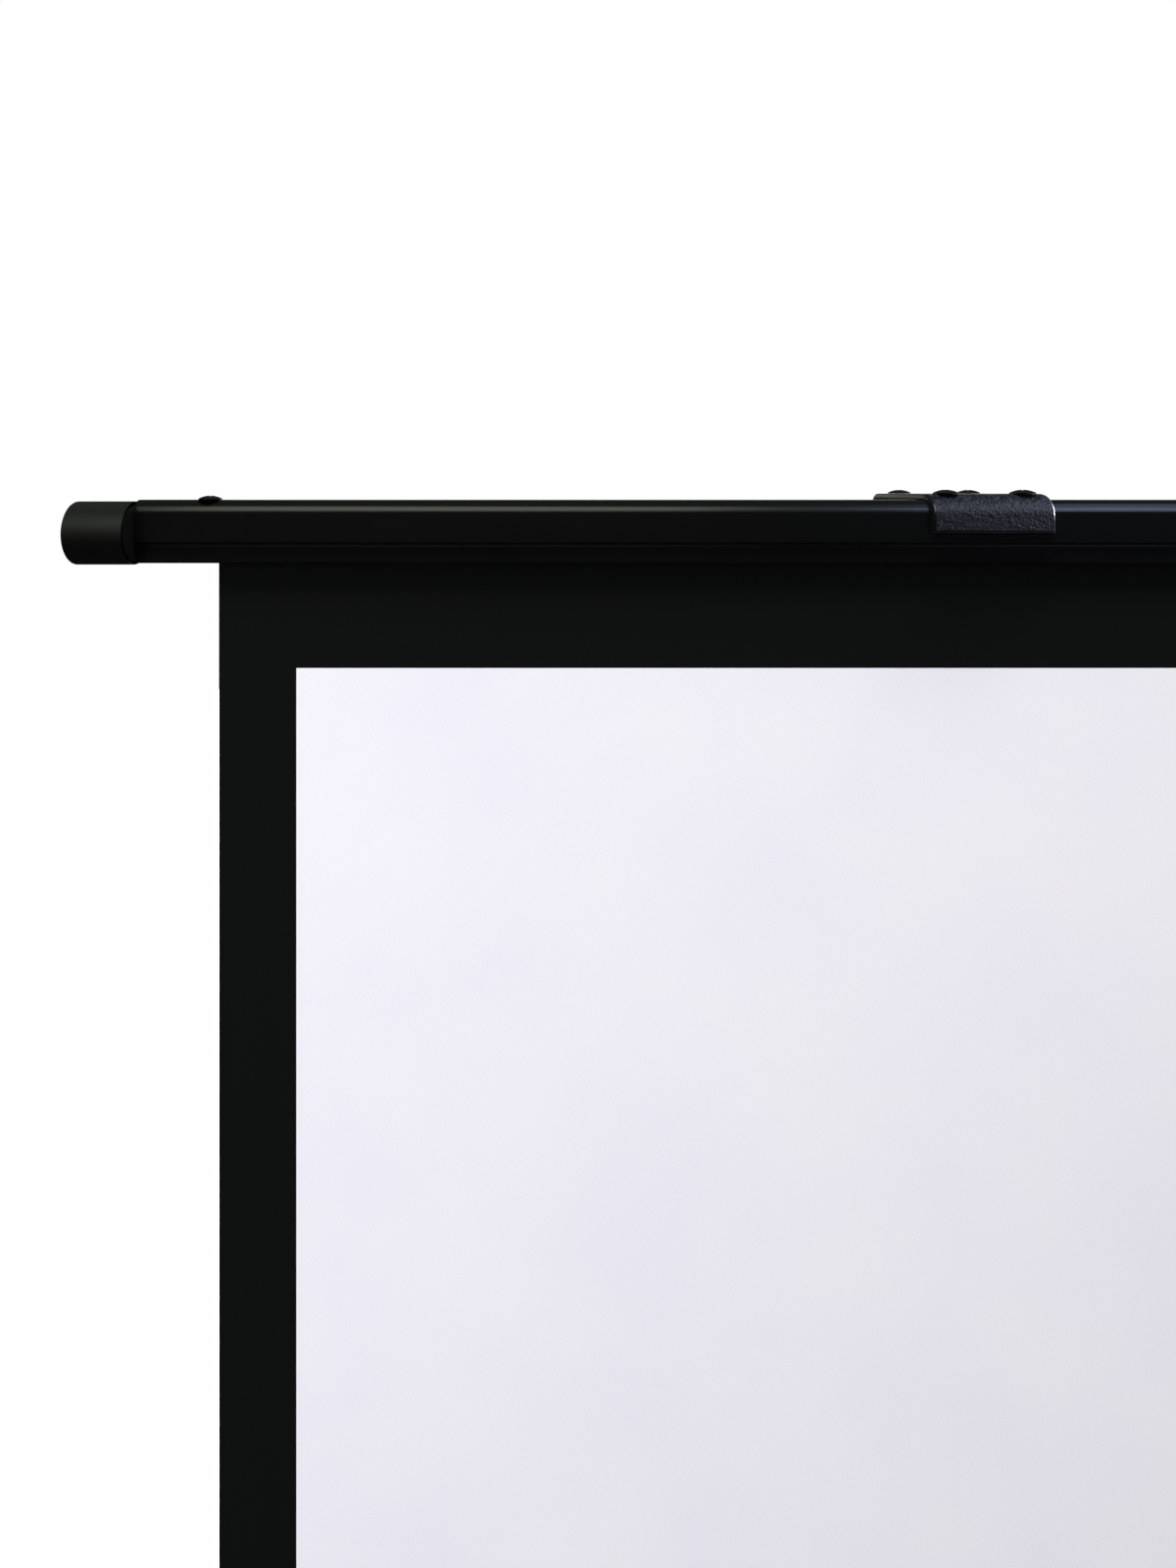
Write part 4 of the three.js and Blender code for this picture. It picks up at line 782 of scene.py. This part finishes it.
def cloth_strip(name, low, high, rows, body, *nodes):
    bm = bmesh.new()
    bmesh.ops.create_grid(bm, x_segments=CLOTH_COLUMNS, y_segments=rows, size=GRID_HALF)
    uv_layer = bm.loops.layers.uv.new(CLOTH_UV)
    for face in bm.faces:
        for loop in face.loops:
            above = low - CLOTH_BOTTOM + (loop.vert.co.y + GRID_HALF) * (high - low)
            loop[uv_layer].uv = (loop.vert.co.x + GRID_HALF, above / CLOTH_HEIGHT)
    bmesh.ops.scale(bm, verts=bm.verts, vec=(mm(CLOTH_WIDTH), mm(high - low), 1))
    bmesh.ops.rotate(bm, verts=bm.verts, cent=(0, 0, 0), matrix=Matrix.Rotation(math.pi / 2, 3, "X"))
    bmesh.ops.translate(bm, verts=bm.verts, vec=mm(0, FABRIC_Y - CLOTH_THICKNESS / 2, (high + low) / 2))
    strip = keep_piece(name, bm, screen_cloth, body, "screen_fabric", *nodes, turn_out=False)
    strip.data.materials.append(black_cloth)
    strip.data.polygons.foreach_set("use_smooth", [False] * len(strip.data.polygons))
    thickness = strip.modifiers.new("thickness", "SOLIDIFY")
    thickness.thickness = mm(CLOTH_THICKNESS)
    thickness.offset = -1
    thickness.material_offset = 1
    thickness.material_offset_rim = 1
    return strip


print("the cloth is", CLOTH_THICKNESS, "mm thick")

# %% [markdown]
# The fabric is made in two strips of one plane. The upper strip is the part that is still outside the roller when
# the arms are folded. It is all black border, and it rides on the bar. The lower strip is what winds onto the
# roller, and it rides on the case. It is as tall as the folded travel and a millimetre and a half more, and ends
# where the upper strip begins. One strip alone would squeeze the white picture into the gap.

# %% Projection fabric
PICTURE_ROWS = 40
BORDER_ROWS = 3
FOLD_TRAVEL = 611.2
WOUND_REST = 1.5
CLOTH_SPLIT = CLOTH_BOTTOM + FOLD_TRAVEL + WOUND_REST

picture = cloth_strip("projection_fabric_vinyl", CLOTH_BOTTOM, CLOTH_SPLIT, PICTURE_ROWS, "case",
                      "projection_fabric")
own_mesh(picture)
border = cloth_strip("projection_fabric_top_border", CLOTH_SPLIT, CLOTH_TOP, BORDER_ROWS, "top_bar")
print("fabric is", CLOTH_WIDTH, "by", round(CLOTH_HEIGHT, 1), "mm, split at", round(CLOTH_SPLIT, 1))


# %% [markdown]
# The other parts already have the right shape as CAD solids, but a CAD edge is perfectly sharp and no made thing
# is. A copy of each solid is merged into one skin, its flat facets are joined, and its sharp edges are rounded.
# Edges not much longer than the rounding is wide are left alone. The CAD solid itself stays in the frame for
# collision.

# %% Soften the edges of a CAD solid
CORNER = math.radians(45)
SAME_PLANE = math.radians(1)
SKIN_GAP = 2e-6
SOFT_STEPS = 2
SHORTEST_IN_WIDTHS = 2.2


def soften(node, material, body, slot, width_mm):
    bm = bmesh.new()
    bm.from_mesh(frame["nodes"][node].data)
    bmesh.ops.remove_doubles(bm, verts=bm.verts, dist=SKIN_GAP)
    bmesh.ops.dissolve_limit(bm, angle_limit=SAME_PLANE, verts=bm.verts, edges=bm.edges)
    sharp = [edge for edge in bm.edges if len(edge.link_faces) == 2
             and edge.calc_face_angle() > CORNER and edge.calc_length() > mm(SHORTEST_IN_WIDTHS * width_mm)]
    bevel_edges(bm, sharp, width_mm, SOFT_STEPS)
    return keep_piece(f"{node}_soft", bm, material, body, slot, node, turn_out=False)


print("edges over", round(math.degrees(CORNER)), "degrees will be rounded")

# %% [markdown]
# One table says which finish each remaining part has, and another how wide its rounded edges are. The body comes
# from the frame's record, so a part can't ride on the wrong one.

# %% Dress the remaining parts
SMALL_EDGE = 0.25

body_of = {node: body for body, nodes in frame["record"]["behaviour"]["bodies"].items() for node in nodes}
slot_of = {part["node"]: part["material_slot"] for part in frame["record"]["subparts"]}
finish_of_slot = {
    "screw_black": black_oxide, "plated_steel": zinc_steel, "arm_paint": arm_coat, "case_paint": case_coat,
    "case_cap_plastic": cap_plastic, "roller_aluminium": roller_metal, "black_fabric": black_cloth,
    "pad_rubber": pad_rubber, "nylon": nylon,
}
edge_width = {"case_paint": 0.5, "case_cap_plastic": 0.5, "arm_paint": 0.3, "pad_rubber": 0.3}
softened = [soften(node, finish_of_slot[slot], body_of[node], slot, edge_width.get(slot, SMALL_EDGE))
            for node, slot in sorted(slot_of.items()) if slot in finish_of_slot and node not in screw_places]
print("softened", len(softened), "parts")

# %% [markdown]
# Nodes that a new piece replaces are hidden, but they keep a material too, so that nothing is left with the
# frame's plain colours.

# %% Materials for the hidden CAD nodes
finish_of_slot.update({"bar_paint": bar_coat, "cap_rubber": cap_rubber, "saddle_coat": hammer_coat,
                       "screen_fabric": screen_cloth})
for node, slot in slot_of.items():
    for material_slot in frame["nodes"][node].material_slots:
        material_slot.material = finish_of_slot[slot]
print("dressed", len(slot_of), "CAD nodes")

# %% [markdown]
# A plain pale floor lies under the feet. It shows in the picture and takes the shadows, but light doesn't bounce
# from it onto the part: the photographed screen stood high above its floor, and its underside is nearly black.

# %% Floor
FLOOR_HALF = 2.5

bm = bmesh.new()
bmesh.ops.create_grid(bm, x_segments=1, y_segments=1, size=FLOOR_HALF)
mesh = bpy.data.meshes.new("floor")
bm.to_mesh(mesh)
bm.free()
floor = bpy.data.objects.new("floor", mesh)
floor_paint, tree = new_material("floor_paint_matt_white")
shader = add(tree, "ShaderNodeBsdfPrincipled", {
    "Base Color": linear("#f4f4f5"), "Roughness": 0.9, "Specular IOR Level": 0.1})
add(tree, "ShaderNodeOutputMaterial", {"Surface": (shader, "BSDF")})
mesh.materials.append(floor_paint)
bpy.context.scene.collection.objects.link(floor)
floor.visible_diffuse = False
floor.visible_glossy = False
print("floor is", round(floor.dimensions.x, 1), "m wide")

# %% [markdown]
# The photograph has a bar that is nearly black in front, with one soft line of light along its shoulder, and a
# bright picture surface. Matt cloth takes light from every lamp, while gloss only shows the lamps that it mirrors.
# So the lamps share the work: some light the matt surfaces alone, and some are seen in the gloss alone. Each lamp
# says which rays may meet it. Places and sizes are in metres and powers in watts. The first two light the picture.

# %% Softboxes for the matt surfaces
def softbox(name, place, aim, width, height, power, colour="#ffffff", diffuse=True, glossy=True, only=None):
    lamp = bpy.data.lights.new(name, "AREA")
    lamp.shape = "RECTANGLE"
    lamp.size = width
    lamp.size_y = height
    lamp.energy = power
    lamp.color = linear(colour)[:3]
    holder = bpy.data.objects.new(name, lamp)
    holder.location = place
    holder.rotation_euler = (Vector(aim) - Vector(place)).to_track_quat("-Z", "Y").to_euler()
    holder.visible_camera = False
    holder.visible_diffuse = diffuse
    holder.visible_glossy = glossy
    bpy.context.scene.collection.objects.link(holder)
    if only:
        lit = bpy.data.collections.new(f"{name}_lights")
        lit.objects.link(only)
        holder.light_linking.receiver_collection = lit
    return holder


lamps = [
    softbox("overhead_softbox", place=(0.3, -0.94, 5.5), aim=(0, 0, 0.6), width=4.0, height=0.55, power=955,
            glossy=False),
    softbox("front_fill", place=(-1.5, -1.55, 0.36), aim=(0, 0, 0.2), width=1.8, height=0.6, power=23,
            colour="#f4f2ff", glossy=False),
]
print(len(lamps), "lamps light the picture")

# %% [markdown]
# The next lamps are seen in the gloss alone. The strips draw the line of light along the shoulder of the bar, and
# the crown lamp, high on the right, widens it there. The rim and edge lamps draw the bright edge of the saddle. They
# stand in for lamps with a snoot, so their light falls on the saddle alone.

# %% Lamps for the gloss
BAR_MIDDLE = (0, 0, 0.72)

lamps += [
    softbox("shoulder_strip", place=(-0.38, -1.63, 1.92), aim=(-0.2, 0, 0.72), width=1.75, height=1.4, power=16.5,
            colour="#f8fff0", diffuse=False),
    softbox("right_strip", place=(1.55, -1.7, 1.8), aim=BAR_MIDDLE, width=0.9, height=1.2, power=12,
            colour="#c4d4ff", diffuse=False),
    softbox("right_crown", place=(1.54, -0.72, 2.42), aim=BAR_MIDDLE, width=1.0, height=1.0, power=4,
            colour="#c4d4ff", diffuse=False),
    softbox("right_rim", place=(1.9, 0.14, 1.0), aim=(0, 0.14, 0.72), width=0.3, height=1.0, power=36,
            colour="#eef2ff", diffuse=False, only=saddle),
    softbox("edge_strip", place=(1.9, -0.15, 0.85), aim=BAR_MIDDLE, width=0.08, height=0.6, power=34,
            colour="#eef2ff", diffuse=False, only=saddle),
]
print("with those for the gloss there are", len(lamps), "lamps")

# %% [markdown]
# The last two light the back, the top of the case and the feet, so that the part can be seen from every side.

# %% Lamps behind the screen
lamps += [
    softbox("top_softbox", place=(0, 1.6, 3.4), aim=(0, 0.5, 0), width=5.0, height=2.6, power=260, glossy=False),
    softbox("rear_wall", place=(0.775, 3.0, 0.9), aim=(0.775, 0, 0.7), width=4.45, height=1.8, power=30,
            colour="#faffee"),
]
print("all together there are", len(lamps), "lamps")

# %% [markdown]
# The background is pure white paper. The camera sees a white world, and every other ray sees one that is almost
# black, so that the white round the part doesn't wash out its dark coats.

# %% World
world = bpy.data.worlds.new("studio")
world.use_nodes = True
bpy.context.scene.world = world
tree = world.node_tree
tree.nodes.clear()
path = add(tree, "ShaderNodeLightPath")
room = add(tree, "ShaderNodeBackground", {"Color": linear("#ffffff"), "Strength": 0.02})
paper = add(tree, "ShaderNodeBackground", {"Color": linear("#ffffff"), "Strength": 1.0})
both = add(tree, "ShaderNodeMixShader", {0: (path, "Is Camera Ray"), 1: (room, "Background"),
                                         2: (paper, "Background")})
add(tree, "ShaderNodeOutputWorld", {"Surface": (both, "Shader")})

view_settings = bpy.context.scene.view_settings
view_settings.view_transform = "Standard"
view_settings.look = "None"
view_settings.exposure = 0
view_settings.gamma = 1
print("studio ready")
